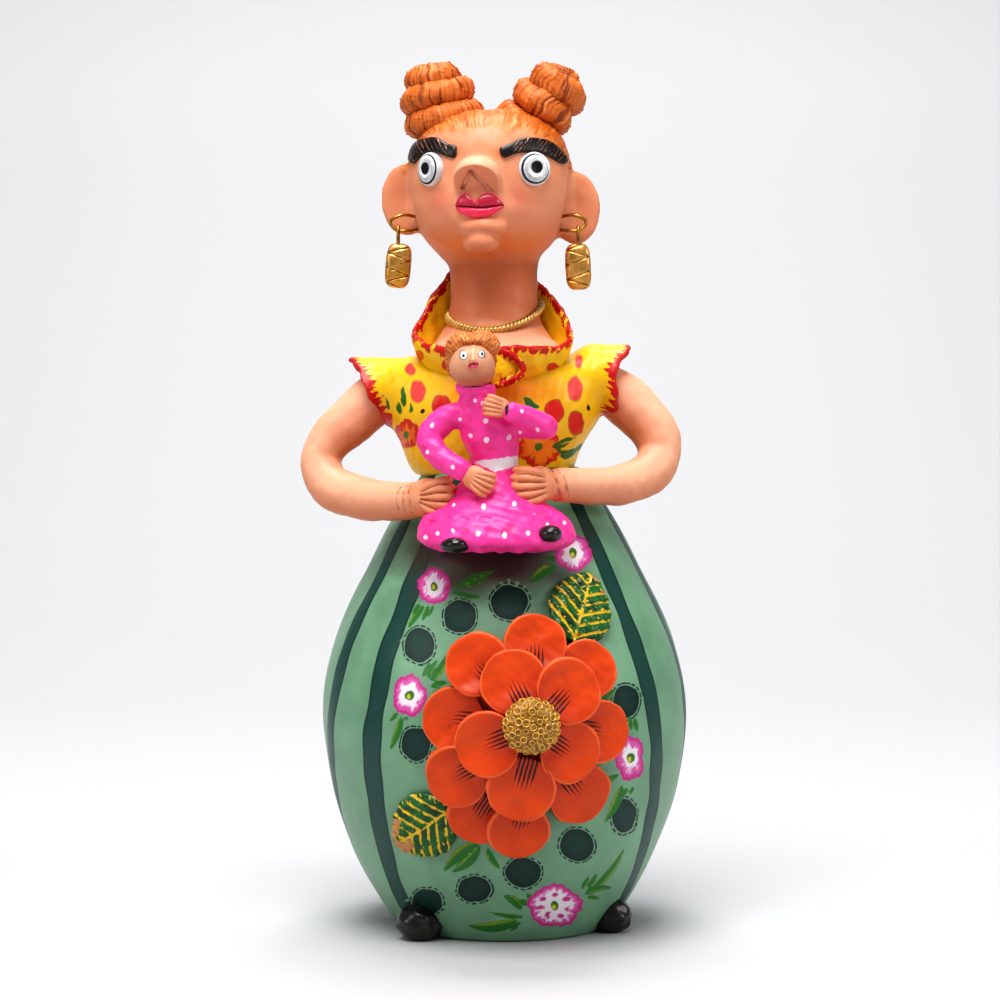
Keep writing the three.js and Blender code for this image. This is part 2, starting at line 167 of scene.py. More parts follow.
# %% [markdown]
# ## Finished pieces
#
# Each piece ends as a plain mesh in metres that rides on the figure. Its painting travels with it as
# named values at its points: how far inside a painted shape the point lies, in mm. Painting by
# picture files could do the same, but values at the points follow the clay and need no file.

# %% Meshes from points
made_triangles = {}
paints_of = {}  # the named values that each finish asks for
FAR = 1e3  # farther than any point of the figure
FAINTEST = -4  # no coat begins so far outside its shape


def skin(rings, closed=False):
    """Faces over rings of points: a tube with fan ends, or, closed, a ring of rings."""
    rows, sides = rings.shape[:2]
    points = rings.reshape(-1, 3)
    index = np.arange(rows * sides).reshape(rows, sides)
    low = index if closed else index[:-1]
    high = np.roll(index, -1, 0) if closed else index[1:]
    quads = np.stack([low, np.roll(low, -1, 1), np.roll(high, -1, 1), high], -1).reshape(-1, 4)
    if closed:
        return points, [quads]
    hubs = len(points) + np.array([0, 1])
    points = np.vstack([points, rings[0].mean(0), rings[-1].mean(0)])
    fans = [np.stack([np.full(sides, hub), *edge], -1) for hub, edge in (
        (hubs[0], (np.roll(index[0], -1), index[0])), (hubs[1], (index[-1], np.roll(index[-1], -1))))]
    return points, [quads, np.vstack(fans)]


def facing_front(radii, heights, sides):
    """Rings turned round the Y axis, with heights counted towards the front."""
    turn = full_turn(sides)
    across, up = np.outer(radii, np.cos(turn)), np.outer(radii, np.sin(turn))
    return np.stack([across, -np.outer(heights, np.ones(sides)), up], -1)


def volume(points, faces):
    """The volume that the faces close round. It is below zero if they face inwards."""
    total = 0
    for group in faces:
        for k in range(1, group.shape[1] - 1):
            a, b, c = points[group[:, 0]], points[group[:, k]], points[group[:, k + 1]]
            total += np.einsum("ij,ij->", a, np.cross(b, c)) / 6
    return total


def plain_mesh(name, points, faces):
    """A mesh in metres from points in mm, facing out."""
    faces = [group for group in faces if len(group)]
    if volume(points, faces) < 0:
        faces = [group[:, ::-1] for group in faces]
    corners = np.concatenate([group.ravel() for group in faces])
    sizes = np.concatenate([np.full(len(group), group.shape[1]) for group in faces])
    mesh = bpy.data.meshes.new(name)
    mesh.vertices.add(len(points))
    mesh.vertices.foreach_set("co", (points * MM).ravel())
    mesh.loops.add(len(corners))
    mesh.loops.foreach_set("vertex_index", corners)
    mesh.polygons.add(len(sizes))
    mesh.polygons.foreach_set("loop_start", np.cumsum(sizes) - sizes)
    mesh.update(calc_edges=True)
    mesh.shade_smooth()
    return mesh


def read_points(mesh, what="co"):
    """The points of a mesh in mm, or their normals."""
    values = np.zeros(len(mesh.vertices) * 3, np.float32)
    source = mesh.vertices if what == "co" else mesh.vertex_normals
    source.foreach_get("co" if what == "co" else "vector", values)
    return values.reshape(-1, 3).astype(float) / (MM if what == "co" else 1)


def move_points(mesh, points):
    """Gives the points of a mesh new places, in mm."""
    mesh.vertices.foreach_set("co", (points * MM).ravel())
    mesh.update()


def press(mesh, amount):
    """Moves each point of a mesh out along its normal, by an amount in mm."""
    move_points(mesh, read_points(mesh) + read_points(mesh, "normal") * np.asarray(amount)[:, None])


def smooth(mesh, rounds=2):
    """Evens a mesh out, each point towards the middle of its neighbours."""
    edges = np.zeros(len(mesh.edges) * 2, np.int32)
    mesh.edges.foreach_get("vertices", edges)
    a, b = edges.reshape(-1, 2).T
    count = np.bincount(a, minlength=len(mesh.vertices)) + np.bincount(b, minlength=len(mesh.vertices))
    points = read_points(mesh)
    for _ in range(rounds):
        middle = np.stack([
            (np.bincount(a, points[b, k], len(points)) + np.bincount(b, points[a, k], len(points)))
            / np.maximum(count, 1) for k in range(3)], 1)
        points += 0.5 * (middle - points)
    move_points(mesh, points)


def keep_values(mesh, name, values):
    """Keeps a number or a vector for each point of a mesh, under a name."""
    kind, field = ("FLOAT", "value") if np.ndim(values) == 1 else ("FLOAT_VECTOR", "vector")
    layer = mesh.attributes.get(name) or mesh.attributes.new(name, kind, "POINT")
    layer.data.foreach_set(field, np.asarray(values, np.float32).ravel())


def finish_piece(name, mesh, material, paints=None, stands_for="figurine"):
    """Paints a mesh and sets it on the figure. A coat that it has no values for is left off."""
    paints = paints or {}
    for paint in paints_of.get(material.name, []):
        if paint in paints or paint not in mesh.attributes:
            values = paints.get(paint, np.full(len(mesh.vertices), -FAR))
            keep_values(mesh, paint, np.maximum(values, FAINTEST))
    if "comb" in paints:
        keep_values(mesh, "comb", paints["comb"])
    mesh.materials.clear()
    mesh.materials.append(material)
    piece = set_out(name, mesh)
    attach(piece, "root")
    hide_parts(stands_for)
    mesh.calc_loop_triangles()
    made_triangles[name] = len(mesh.loop_triangles)
    print(f"{name}: {made_triangles[name]} triangles")


# %% [markdown]
# ## Lumps of clay as a field
#
# Where one lump is pressed into another there is no sharp seam but a small fillet. Booleans and
# remeshing could join the lumps, yet the fillet is easiest with a field: a grid holds each point's
# distance to the clay, distances are joined by a minimum that is rounded off, and the surface where
# the distance is zero is turned into a mesh.

# %% Clay fields
def ball(middle, halves, **turn):
    """A squeezed ball of clay: its distance, and the box that it fills."""
    middle, halves, frame_of_ball = np.array(middle, float), np.array(halves, float), turning(**turn)

    def distance(x, y, z):
        near = [(x - middle[0]) * way[0] + (y - middle[1]) * way[1] + (z - middle[2]) * way[2]
            for way in frame_of_ball.T]
        scaled = np.sqrt(sum((value / half) ** 2 for value, half in zip(near, halves)))
        slope = np.sqrt(sum((value / half**2) ** 2 for value, half in zip(near, halves)))
        return scaled * (scaled - 1) / np.maximum(slope, 1e-6)

    return [(distance, middle - halves.max(), middle + halves.max())]


def rope(stops, count=40):
    """A round rope of clay through stops of x, y, z and radius."""
    rows = spline(stops, count)
    parts = []
    for a, b in zip(rows[:-1], rows[1:]):
        def distance(x, y, z, a=a, way=b[:3] - a[:3], radii=(a[3], b[3])):
            near = (x - a[0], y - a[1], z - a[2])
            t = np.clip(sum(p * w for p, w in zip(near, way)) / (way @ way), 0, 1)
            off = np.sqrt(sum((p - t * w) ** 2 for p, w in zip(near, way)))
            return off - (radii[0] + (radii[1] - radii[0]) * t)

        reach = max(a[3], b[3])
        parts.append((distance, np.minimum(a, b)[:3] - reach, np.maximum(a, b)[:3] + reach))
    return parts


def stack(levels, bevel=1.5):
    """A body through level ovals, as height, middle x and y, half width and half depth."""
    rows = spline(levels, 120)
    heights = rows[:, 0]

    def distance(x, y, z):
        at = [np.interp(z.ravel(), heights, rows[:, k]).reshape(z.shape) for k in range(1, 5)]
        scaled = np.sqrt(((x - at[0]) / at[2]) ** 2 + ((y - at[1]) / at[3]) ** 2)
        side = (scaled - 1) * np.minimum(at[2], at[3])
        ends = np.maximum(heights[0] - z, z - heights[-1])
        return soft_join(side, ends, bevel, cut=True)

    reach = rows[:, 3:5].max(0)
    low = np.append(rows[:, 1:3].min(0) - reach, heights[0])
    high = np.append(rows[:, 1:3].max(0) + reach, heights[-1])
    return [(distance, low, high)]


def flat_side(point, facing):
    """Everything behind a plane that faces a way."""
    point, facing = np.array(point, float), np.array(facing, float) / np.linalg.norm(facing)

    def distance(x, y, z):
        return (x - point[0]) * facing[0] + (y - point[1]) * facing[1] + (z - point[2]) * facing[2]

    return [(distance, np.full(3, -FAR), np.full(3, FAR))]


def soft_join(a, b, soft, cut=False):
    """The smaller of two distances with a fillet between them, or, to cut, the larger."""
    sign = -1 if cut else 1
    fillet = np.maximum(soft - np.abs(a - b), 0) ** 2 / (4 * soft) if soft else 0
    return (np.maximum(a, b) if cut else np.minimum(a, b)) - sign * fillet


class Clay:
    """A lump of clay on a grid of points, which other lumps join or cut."""

    def __init__(self, low, high, step):
        self.low, self.step = np.array(low, float), step
        self.axes = [np.arange(a, b + step, step, dtype=np.float32) for a, b in zip(low, high)]
        self.field = np.full([len(axis) for axis in self.axes], FAR, np.float32)

    def cells(self, low, high, spare):
        """The grid's cells that lie in a box, with some to spare."""
        first = np.floor((np.array(low) - self.low - spare) / self.step)
        last = np.ceil((np.array(high) - self.low + spare) / self.step) + 1
        return tuple(slice(max(0, int(a)), max(0, min(count, int(b))))
                     for a, b, count in zip(first, last, self.field.shape))

    def work(self, parts, soft=0, cut=False):
        """Joins a shape to the clay, or cuts it out."""
        spare = soft + 4 * self.step
        whole = self.cells(np.min([p[1] for p in parts], 0), np.max([p[2] for p in parts], 0), spare)
        shape = np.full(self.field[whole].shape, FAR, np.float32)
        for distance, low, high in parts:
            box = self.cells(low, high, spare)
            inner = tuple(slice(a.start - b.start, a.stop - b.start) for a, b in zip(box, whole))
            x, y, z = np.meshgrid(*(axis[c] for axis, c in zip(self.axes, box)), indexing="ij", sparse=True)
            shape[inner] = np.minimum(shape[inner], distance(x, y, z))
        self.field[whole] = soft_join(self.field[whole], -shape if cut else shape, soft, cut)

    def skin(self, name, rounds=2):
        """The clay's surface as a mesh."""
        band = 3 * self.step
        grid = openvdb.FloatGrid(background=band)
        grid.copyFromArray(np.clip(self.field, -band, band))
        points, triangles, quads = grid.convertToPolygons(isovalue=0)
        mesh = plain_mesh(name, points * self.step + self.low, [quads.astype(int), triangles.astype(int)])
        smooth(mesh, rounds)
        return mesh


# %% [markdown]
# ## Repeating by Geometry Nodes
#
# Petals, beads and gold dimples repeat, wire follows a path, and the skirt is one outline turned
# round an axis. Each has its own small node tree with named sizes, so a change of one number makes
# all of them again. The result is turned into a plain mesh at once.

# %% Node helpers
def add(tree, kind, inputs=None, **settings):
    """Adds a node to a tree, with its settings and with values or links at its inputs. Where an input
    is given another node, it gets that node's first output."""
    made = tree.nodes.new(kind)
    for key, value in settings.items():
        setattr(made, key, value)
    for key, value in (inputs or {}).items():
        if isinstance(value, bpy.types.Node):
            value = value.outputs[0]
        if isinstance(value, bpy.types.NodeSocket):
            tree.links.new(value, made.inputs[key])
        else:
            made.inputs[key].default_value = value
    return made


def new_tree(name, sizes):
    """A node tree with a mesh going in, a mesh going out, and named sizes."""
    tree = bpy.data.node_groups.new(name, "GeometryNodeTree")
    tree.interface.new_socket("Geometry", in_out="OUTPUT", socket_type="NodeSocketGeometry")
    tree.interface.new_socket("Geometry", in_out="INPUT", socket_type="NodeSocketGeometry")
    for size, kind in sizes.items():
        tree.interface.new_socket(size, in_out="INPUT", socket_type="NodeSocket" + kind)
    return tree, tree.nodes.new("NodeGroupInput").outputs


def grown(name, tree, source, **sizes):
    """Runs a tree on a mesh, with its inputs set by their identifiers, and gives the plain result."""
    seed = set_out(name, source)
    modifier = seed.modifiers.new("nodes", "NODES")
    modifier.node_group = tree
    for socket in tree.interface.items_tree:
        if socket.in_out == "INPUT" and socket.name in sizes:
            modifier[socket.identifier] = sizes[socket.name]
    bpy.context.view_layer.update()
    mesh = bpy.data.meshes.new_from_object(seed.evaluated_get(bpy.context.evaluated_depsgraph_get()))
    bpy.data.objects.remove(seed)
    mesh.name = name
    mesh.shade_smooth()
    return mesh


# %% Tree that sets copies on marks
copies, given = new_tree("copies on marks", {"Pattern": "Object", "Material": "Material"})
mark_turn = add(copies, "GeometryNodeInputNamedAttribute", {"Name": "turn"}, data_type="FLOAT_VECTOR")
mark_size = add(copies, "GeometryNodeInputNamedAttribute", {"Name": "size"}, data_type="FLOAT_VECTOR")
pattern = add(copies, "GeometryNodeObjectInfo", {"Object": given["Pattern"]})
as_turn = add(copies, "FunctionNodeEulerToRotation", {"Euler": mark_turn})
placed = add(copies, "GeometryNodeInstanceOnPoints", {
    "Points": given["Geometry"], "Instance": pattern.outputs["Geometry"], "Rotation": as_turn,
    "Scale": mark_size})
real = add(copies, "GeometryNodeRealizeInstances", {"Geometry": placed})
dressed = add(copies, "GeometryNodeSetMaterial", {"Geometry": real, "Material": given["Material"]})
add(copies, "NodeGroupOutput", {"Geometry": dressed})


def copied(name, pattern_mesh, marks, material):
    """Copies a mesh to marks of place, turning matrix and size."""
    pattern_object = set_out(name + "_pattern", pattern_mesh)
    source = bpy.data.meshes.new(name + "_marks")
    source.from_pydata([np.array(place) * MM for place, _, _ in marks], [], [])
    turns = [Matrix(turn.tolist()).to_euler() for _, turn, _ in marks]
    keep_values(source, "turn", np.array(turns))
    keep_values(source, "size", np.array([size for _, _, size in marks]))
    mesh = grown(name, copies, source, Pattern=pattern_object, Material=material)
    bpy.data.objects.remove(pattern_object)
    print(f"{name}: {len(marks)} copies")
    return mesh


# %% Tree that draws wire along a path
wire_tree, given = new_tree("wire on a path", {"Radius": "Float", "Sides": "Int", "Material": "Material"})
as_path = add(wire_tree, "GeometryNodeMeshToCurve", {"Mesh": given["Geometry"]})
section = add(wire_tree, "GeometryNodeCurvePrimitiveCircle",
    {"Radius": given["Radius"], "Resolution": given["Sides"]})
drawn = add(wire_tree, "GeometryNodeCurveToMesh",
    {"Curve": as_path, "Profile Curve": section, "Fill Caps": True})
real = add(wire_tree, "GeometryNodeRealizeInstances", {"Geometry": drawn})
dressed = add(wire_tree, "GeometryNodeSetMaterial", {"Geometry": real, "Material": given["Material"]})
add(wire_tree, "NodeGroupOutput", {"Geometry": dressed})


def wire(name, path, radius, material, closed=False, sides=14):
    """Round wire along a path of points in mm."""
    count = len(path)
    edges = [(i, (i + 1) % count) for i in range(count if closed else count - 1)]
    source = bpy.data.meshes.new(name + "_path")
    source.from_pydata(path * MM, edges, [])
    return grown(name, wire_tree, source, Radius=radius * MM, Sides=sides, Material=material)


# %% Tree that turns an outline round the axis
turned, given = new_tree("turned outline",
    {"Columns": "Int", "Rows": "Int", "Crowding": "Float", "Material": "Material"})
sheet = add(turned, "GeometryNodeMeshGrid",
    {"Size X": 1, "Size Y": 1, "Vertices X": given["Columns"], "Vertices Y": given["Rows"]})
place = add(turned, "GeometryNodeInputPosition")
flat = add(turned, "ShaderNodeSeparateXYZ", {"Vector": place})
row_gaps = add(turned, "ShaderNodeMath", {0: given["Rows"], 1: 1}, operation="SUBTRACT")
row_share = add(turned, "ShaderNodeMath", {0: flat.outputs["Y"], 1: 0.5}, operation="ADD")
row = add(turned, "ShaderNodeMath", {0: row_share, 1: row_gaps}, operation="MULTIPLY")
whole_row = add(turned, "ShaderNodeMath", {0: row}, operation="ROUND")
on_outline = add(turned, "GeometryNodeSampleIndex", {
    "Geometry": given["Geometry"], "Value": place, "Index": whole_row}, data_type="FLOAT_VECTOR")
outline_at = add(turned, "ShaderNodeSeparateXYZ", {"Vector": on_outline})
angle = add(turned, "ShaderNodeMath", {0: flat.outputs["X"], 1: 2 * math.pi}, operation="MULTIPLY")
sine_of = add(turned, "ShaderNodeMath", {0: angle}, operation="SINE")
crowd = add(turned, "ShaderNodeMath", {0: sine_of, 1: given["Crowding"]}, operation="MULTIPLY")
azimuth_at = add(turned, "ShaderNodeMath", {0: angle, 1: crowd}, operation="SUBTRACT")
sine = add(turned, "ShaderNodeMath", {0: azimuth_at}, operation="SINE")
cosine = add(turned, "ShaderNodeMath", {0: azimuth_at}, operation="COSINE")
to_left = add(turned, "ShaderNodeMath", {0: sine, 1: outline_at.outputs["X"]}, operation="MULTIPLY")
to_back = add(turned, "ShaderNodeMath", {0: cosine, 1: outline_at.outputs["X"]}, operation="MULTIPLY")
to_front = add(turned, "ShaderNodeMath", {0: to_back, 1: -1}, operation="MULTIPLY")
bent = add(turned, "ShaderNodeCombineXYZ", {"X": to_left, "Y": to_front, "Z": outline_at.outputs["Z"]})
round_body = add(turned, "GeometryNodeSetPosition", {"Geometry": sheet, "Position": bent})
sealed = add(turned, "GeometryNodeMergeByDistance", {"Geometry": round_body, "Distance": 0.00001})
real = add(turned, "GeometryNodeRealizeInstances", {"Geometry": sealed})
dressed = add(turned, "GeometryNodeSetMaterial", {"Geometry": real, "Material": given["Material"]})
add(turned, "NodeGroupOutput", {"Geometry": dressed})

# %% [markdown]
# ## Paint
#
# Acrylic paint on fired clay is opaque, slightly uneven in colour where the brush ran dry, and the
# varnish over it gives a soft gloss with small bumps. One function starts every painted finish: a
# ground colour that drifts a little, then any number of coats, each where its named value says.

# %% Colour and painted finishes
def colour(code):
    """A linear colour from an sRGB hex value."""
    parts = [int(code[i:i + 2], 16) / 255 for i in (1, 3, 5)]
    return [c / 12.92 if c <= 0.04045 else ((c + 0.055) / 1.055) ** 2.4 for c in parts] + [1]


def varnished(name, ground, coats=(), drift=0.12, drift_mm=14, roughness=0.42, varnish=0.15, lump_mm=5,
        lump=0.18, grain_mm=0.7, grain=0.12, combed=None):
    """Acrylic paint under varnish. Each coat is a named value, a colour, and the two distances in mm
    between which it fades in, with a ragged edge in mm. Combed clay has a painted highlight colour for the
    ridges and a painted shade colour for the furrows, the spacing of the tool marks, the coat that they lie
    in, and their depth in mm."""
    material = bpy.data.materials.new(name)
    paints_of[name] = sorted({coat[0] for coat in coats})
    material.use_nodes = True
    tree = material.node_tree
    shader = tree.nodes["Principled BSDF"]
    place = add(tree, "ShaderNodeTexCoord").outputs["Object"]
    slow = add(tree, "ShaderNodeTexNoise", {"Vector": place, "Scale": 1 / (drift_mm * MM), "Detail": 3})
    fine = add(tree, "ShaderNodeTexNoise", {"Vector": place, "Scale": 1 / (0.9 * MM), "Detail": 3})
    tone = add(tree, "ShaderNodeMapRange",
        {"Value": slow, "From Min": 0.3, "From Max": 0.7, "To Min": 1 - drift, "To Max": 1 + drift})
    tinted = add(tree, "ShaderNodeVectorMath", {0: colour(ground)[:3], "Scale": tone}, operation="SCALE")
    shown = tinted.outputs[0]
    for paint, code, low, high, ragged in coats:
        reach = add(tree, "ShaderNodeAttribute", attribute_name=paint).outputs["Fac"]
        if ragged:
            teeth = add(tree, "ShaderNodeMath", {0: fine, 1: 0.5}, operation="SUBTRACT")
            reach = add(tree, "ShaderNodeMath", {0: teeth, 1: 4 * ragged, 2: reach},
                        operation="MULTIPLY_ADD")
        cover = add(tree, "ShaderNodeMapRange", {"Value": reach, "From Min": low, "From Max": high})
        shown = add(tree, "ShaderNodeMix", {0: cover, 6: shown, 7: colour(code)}, data_type="RGBA")
        shown = shown.outputs[2]
    if combed:
        light, dark, spacing, coat, deep = combed
        way = add(tree, "ShaderNodeAttribute", attribute_name="comb").outputs["Vector"]
        marks = add(tree, "ShaderNodeTexNoise", {"Vector": way, "Scale": 1 / spacing, "Detail": 3.5})
        if coat:
            inside = add(tree, "ShaderNodeAttribute", attribute_name=coat).outputs["Fac"]
            inside = add(tree, "ShaderNodeMapRange", {"Value": inside, "From Min": -0.6, "From Max": 1.6})
            marks = add(tree, "ShaderNodeMix", {0: inside, 2: 0.5, 3: marks})
        # Painted shade in the furrows of the tool marks, and painted highlights on their ridges.
        for code, low, high in ((dark, 0.46, 0.36), (light, 0.56, 0.7)):
            cover = add(tree, "ShaderNodeMapRange", {"Value": marks, "From Min": low, "From Max": high})
            shown = add(tree, "ShaderNodeMix", {0: cover, 6: shown, 7: colour(code)}, data_type="RGBA")
            shown = shown.outputs[2]
    tree.links.new(shown, shader.inputs["Base Color"])
    gloss = add(tree, "ShaderNodeMapRange", {
        "Value": slow, "From Min": 0.3, "From Max": 0.7, "To Min": roughness - 0.05,
        "To Max": roughness + 0.07})
    tree.links.new(gloss.outputs["Result"], shader.inputs["Roughness"])
    shader.inputs["Coat Weight"].default_value = varnish
    shader.inputs["Coat Roughness"].default_value = 0.22
    lumps = add(tree, "ShaderNodeTexNoise", {"Vector": place, "Scale": 1 / (lump_mm * MM), "Detail": 2})
    soft = add(tree, "ShaderNodeBump", {"Height": lumps, "Strength": lump, "Distance": lump_mm * 0.2 * MM})
    grit = add(tree, "ShaderNodeTexNoise", {"Vector": place, "Scale": 1 / (grain_mm * MM), "Detail": 2})
    rough = add(tree, "ShaderNodeBump",
        {"Height": grit, "Strength": grain, "Distance": grain_mm * 0.3 * MM, "Normal": soft})
    if combed:
        rough = add(tree, "ShaderNodeBump",
            {"Height": marks, "Strength": 1, "Distance": deep * 2 * MM, "Normal": rough})
    tree.links.new(rough.outputs["Normal"], shader.inputs["Normal"])
    return material

# %% [markdown]
# ## Painted shapes
#
# The decoration is free brushwork: dots, small blossoms and leaf strokes. A painter places them by
# eye on the finished form. Here each has its place in the picture, and a function gives every point
# of clay its distance in mm inside the nearest one, so the shapes lie on the clay from any side.

# %% Dots, strokes and blossoms
MM_PER_PX = 0.352  # on the front of the skirt


def inside_ovals(at, ovals):
    """How far inside the nearest oval each picture place is, in mm, and its angle round that oval.
    Ovals are given as column, row, half width, half height."""
    reach, angle = np.full(len(at), -FAR), np.zeros(len(at))
    for column, row, half_width, half_height in ovals:
        across, down = at[:, 0] - column, at[:, 1] - row
        scaled = np.hypot(across / half_width, down / half_height)
        depth = (1 - scaled) * min(half_width, half_height) * MM_PER_PX
        nearer = depth > reach
        reach = np.where(nearer, depth, reach)
        angle = np.where(nearer, np.arctan2(down / half_height, across / half_width), angle)
    return reach, angle


def inside_strokes(at, strokes):
    """How far inside the nearest brush stroke each picture place is, in mm, and the share across it.
    Strokes are given as start column and row, end column and row, width, and bend, in pixels."""
    reach, share = np.full(len(at), -FAR), np.zeros(len(at))
    for x0, y0, x1, y1, width, bend in strokes:
        length = math.hypot(x1 - x0, y1 - y0)
        along = ((at[:, 0] - x0) * (x1 - x0) + (at[:, 1] - y0) * (y1 - y0)) / length**2
        across = ((at[:, 1] - y0) * (x1 - x0) - (at[:, 0] - x0) * (y1 - y0)) / length
        t = np.clip(along, 0, 1)
        across = across - bend * 4 * t * (1 - t)
        half = 0.54 * width * np.sin(math.pi * t**0.75) ** 0.7 + 0.2
        beyond = np.maximum(np.abs(along - 0.5) - 0.5, 0) * length
        depth = (half - np.hypot(across, beyond)) * MM_PER_PX
        nearer = depth > reach
        reach = np.where(nearer, depth, reach)
        share = np.where(nearer, across / np.maximum(half, 0.4), share)
    return reach, share


def inside_blossoms(at, blossoms, lobes=5):
    """Painted blossoms as column, row, half width, half height and turn in degrees: how far inside
    the ruffled edge each place is, in mm, and the angle round the blossom."""
    reach, angle = np.full(len(at), -FAR), np.zeros(len(at))
    for column, row, half_width, half_height, turn in blossoms:
        across, down = (at[:, 0] - column) / half_width, (at[:, 1] - row) / half_height
        spin = np.arctan2(down, across) + math.radians(turn)
        edge = 0.86 + 0.14 * np.abs(np.cos(spin * lobes / 2)) ** 0.7 + 0.035 * np.sin(17 * spin)
        depth = (edge - np.hypot(across, down)) * min(half_width, half_height) * MM_PER_PX
        nearer = depth > reach
        reach, angle = np.where(nearer, depth, reach), np.where(nearer, spin, angle)
    return reach, angle


def shaken(at, points, reach, size, seed):
    """Picture places moved by up to about reach pixels, as by an unsteady brush."""
    return at + reach * np.stack([wobble(points, size, seed), wobble(points, size, seed + 1)], 1)


# %% [markdown]
# ## The skirt
#
# The skirt is a closed, egg-like pot that stands on a flat foot. A potter would coil and scrape it
# round, so one outline turned about the axis gives it. Turning it by nodes allows more columns of
# points at the front, where the painting is finest. Dark green stripes run from waist to foot.

# %% Skirt body
SKIRT_OUTLINE = [
    (1.5, 40.9), (9, 46), (28, 56.2), (52, 64), (78, 67.4), (105, 62.8), (134, 49.5), (152, 39.8),
    (168, 29.5),
]  # height and radius
skirt_side = spline(SKIRT_OUTLINE, 185)


def skirt_radius(z):
    return np.interp(z, skirt_side[:, 0], skirt_side[:, 1])


foot = np.array([(0, 0), (0, 20), (0, 36), (0, 38.6), (0.25, 39.7), (0.8, 40.5)])
outline = np.vstack([foot, skirt_side, [(171, 20), (173, 8), (174, 0)]])
outline_mesh = bpy.data.meshes.new("skirt_outline")
outline_mesh.from_pydata([(r * MM, 0, z * MM) for z, r in outline], [], [])

# %% Skirt painting
STRIPE_HEIGHTS, STRIPE_HALF = [12, 45, 80, 110, 140], 4.5
WIDEST = 67  # radius of the skirt where it is widest, in mm
STRIPES = [
    [-49, -46.5, -43.5, -40.5, -37.5], [-87, -77, -68, -64, -61], [66, 59, 52.5, 48, 46.5],
    [91, 84.5, 80, 78, 76], [-118, -106, -98, -94, -92], [-144, -134, -128, -125, -124],
    [118, 112, 107, 104, 102], [146, 139, 133, 130, 128], [176, 172, 168, 165, 163],
    [-176, -166, -160, -157, -155],
]  # azimuths of each stripe at those heights
DOTS = [
    (459.6, 616.5, 16, 16), (509.3, 602, 18.5, 16.5), (419.5, 645.6, 14.5, 16.5), (416.4, 744, 14.5, 16.5),
    (625.5, 701, 12.5, 16), (623.8, 815.5, 12, 16), (577.3, 844.8, 16.5, 15.5), (522.9, 871.8, 17, 14.5),
    (474.6, 888.8, 16, 12.5), (426.8, 902, 15, 12.5),
]
BLOSSOMS = [
    (434.3, 586, 17, 19, 20), (572.9, 553.8, 19, 18.5, 60), (409.8, 695.4, 17.5, 22, 0),
    (629.5, 757.9, 14.5, 24, 40), (554.5, 905.7, 28, 22, 15),
]
LEAF_STROKES = [
    (453, 589, 474, 572, 4, 2), (455, 588, 501, 570, 5, -3), (452, 592, 484, 596, 5, 2),
    (460, 586, 490, 574, 4, 3), (424, 606, 408, 629, 6, 1), (429, 606, 422, 622, 4, 0),
    (434, 605, 428, 618, 3, 0), (420, 604, 413, 612, 4, 0), (423, 677, 430, 661, 5, 1),
    (428, 679, 438, 659, 5, -1), (431, 681, 449, 652, 7, 2), (431, 687, 449, 682, 5, -1),
    (432, 692, 446, 690, 3, 0), (402, 717, 390, 750, 7, -1), (398, 713, 389, 722, 4, 0),
    (405, 716, 410, 722, 3, 0), (523, 917, 490, 912, 4, -1), (517, 921, 468, 925, 10, -4),
    (521, 923, 494, 930, 5, 0), (518, 926, 510, 931, 3, 0), (522, 909, 503, 895, 8, 2),
    (528, 905, 520, 899, 5, 0), (532, 902, 526, 893, 5, 1), (582, 889, 589, 876, 4, 0),
    (588, 889, 597, 873, 4, 0), (590, 892, 624, 848, 6, 3), (585, 894, 613, 888, 6, -3),
    (587, 897, 600, 898, 4, 0), (478, 843, 444, 871, 11, 3), (480, 846, 452, 872, 10, -3),
    (487, 848, 501, 869, 6, 2), (606, 747, 621, 736, 4, 0), (604, 753, 617, 741, 4, 0),
    (601, 782, 619, 774, 6, 1), (622, 786, 605, 822, 8, -2), (627, 788, 621, 797, 4, 0),
    (633, 786, 629, 795, 3, 0), (556, 566, 530, 583, 10, 2), (560, 560, 545, 557, 5, 0),
    (602, 700, 614, 690, 8, 0), (629, 716, 631, 731, 4, 0), (634, 718, 637, 732, 4, 0),
]
BLOSSOM_RING = [(554.5, 905.7, 14.5, 10.5)]  # a second ring of magenta in the lowest blossom
PAINTED_CHILD_SHADOW = [(490, 556, 92, 45)]  # a brown shadow of the child, painted on the skirt below it
green_ground = "#7CA587"


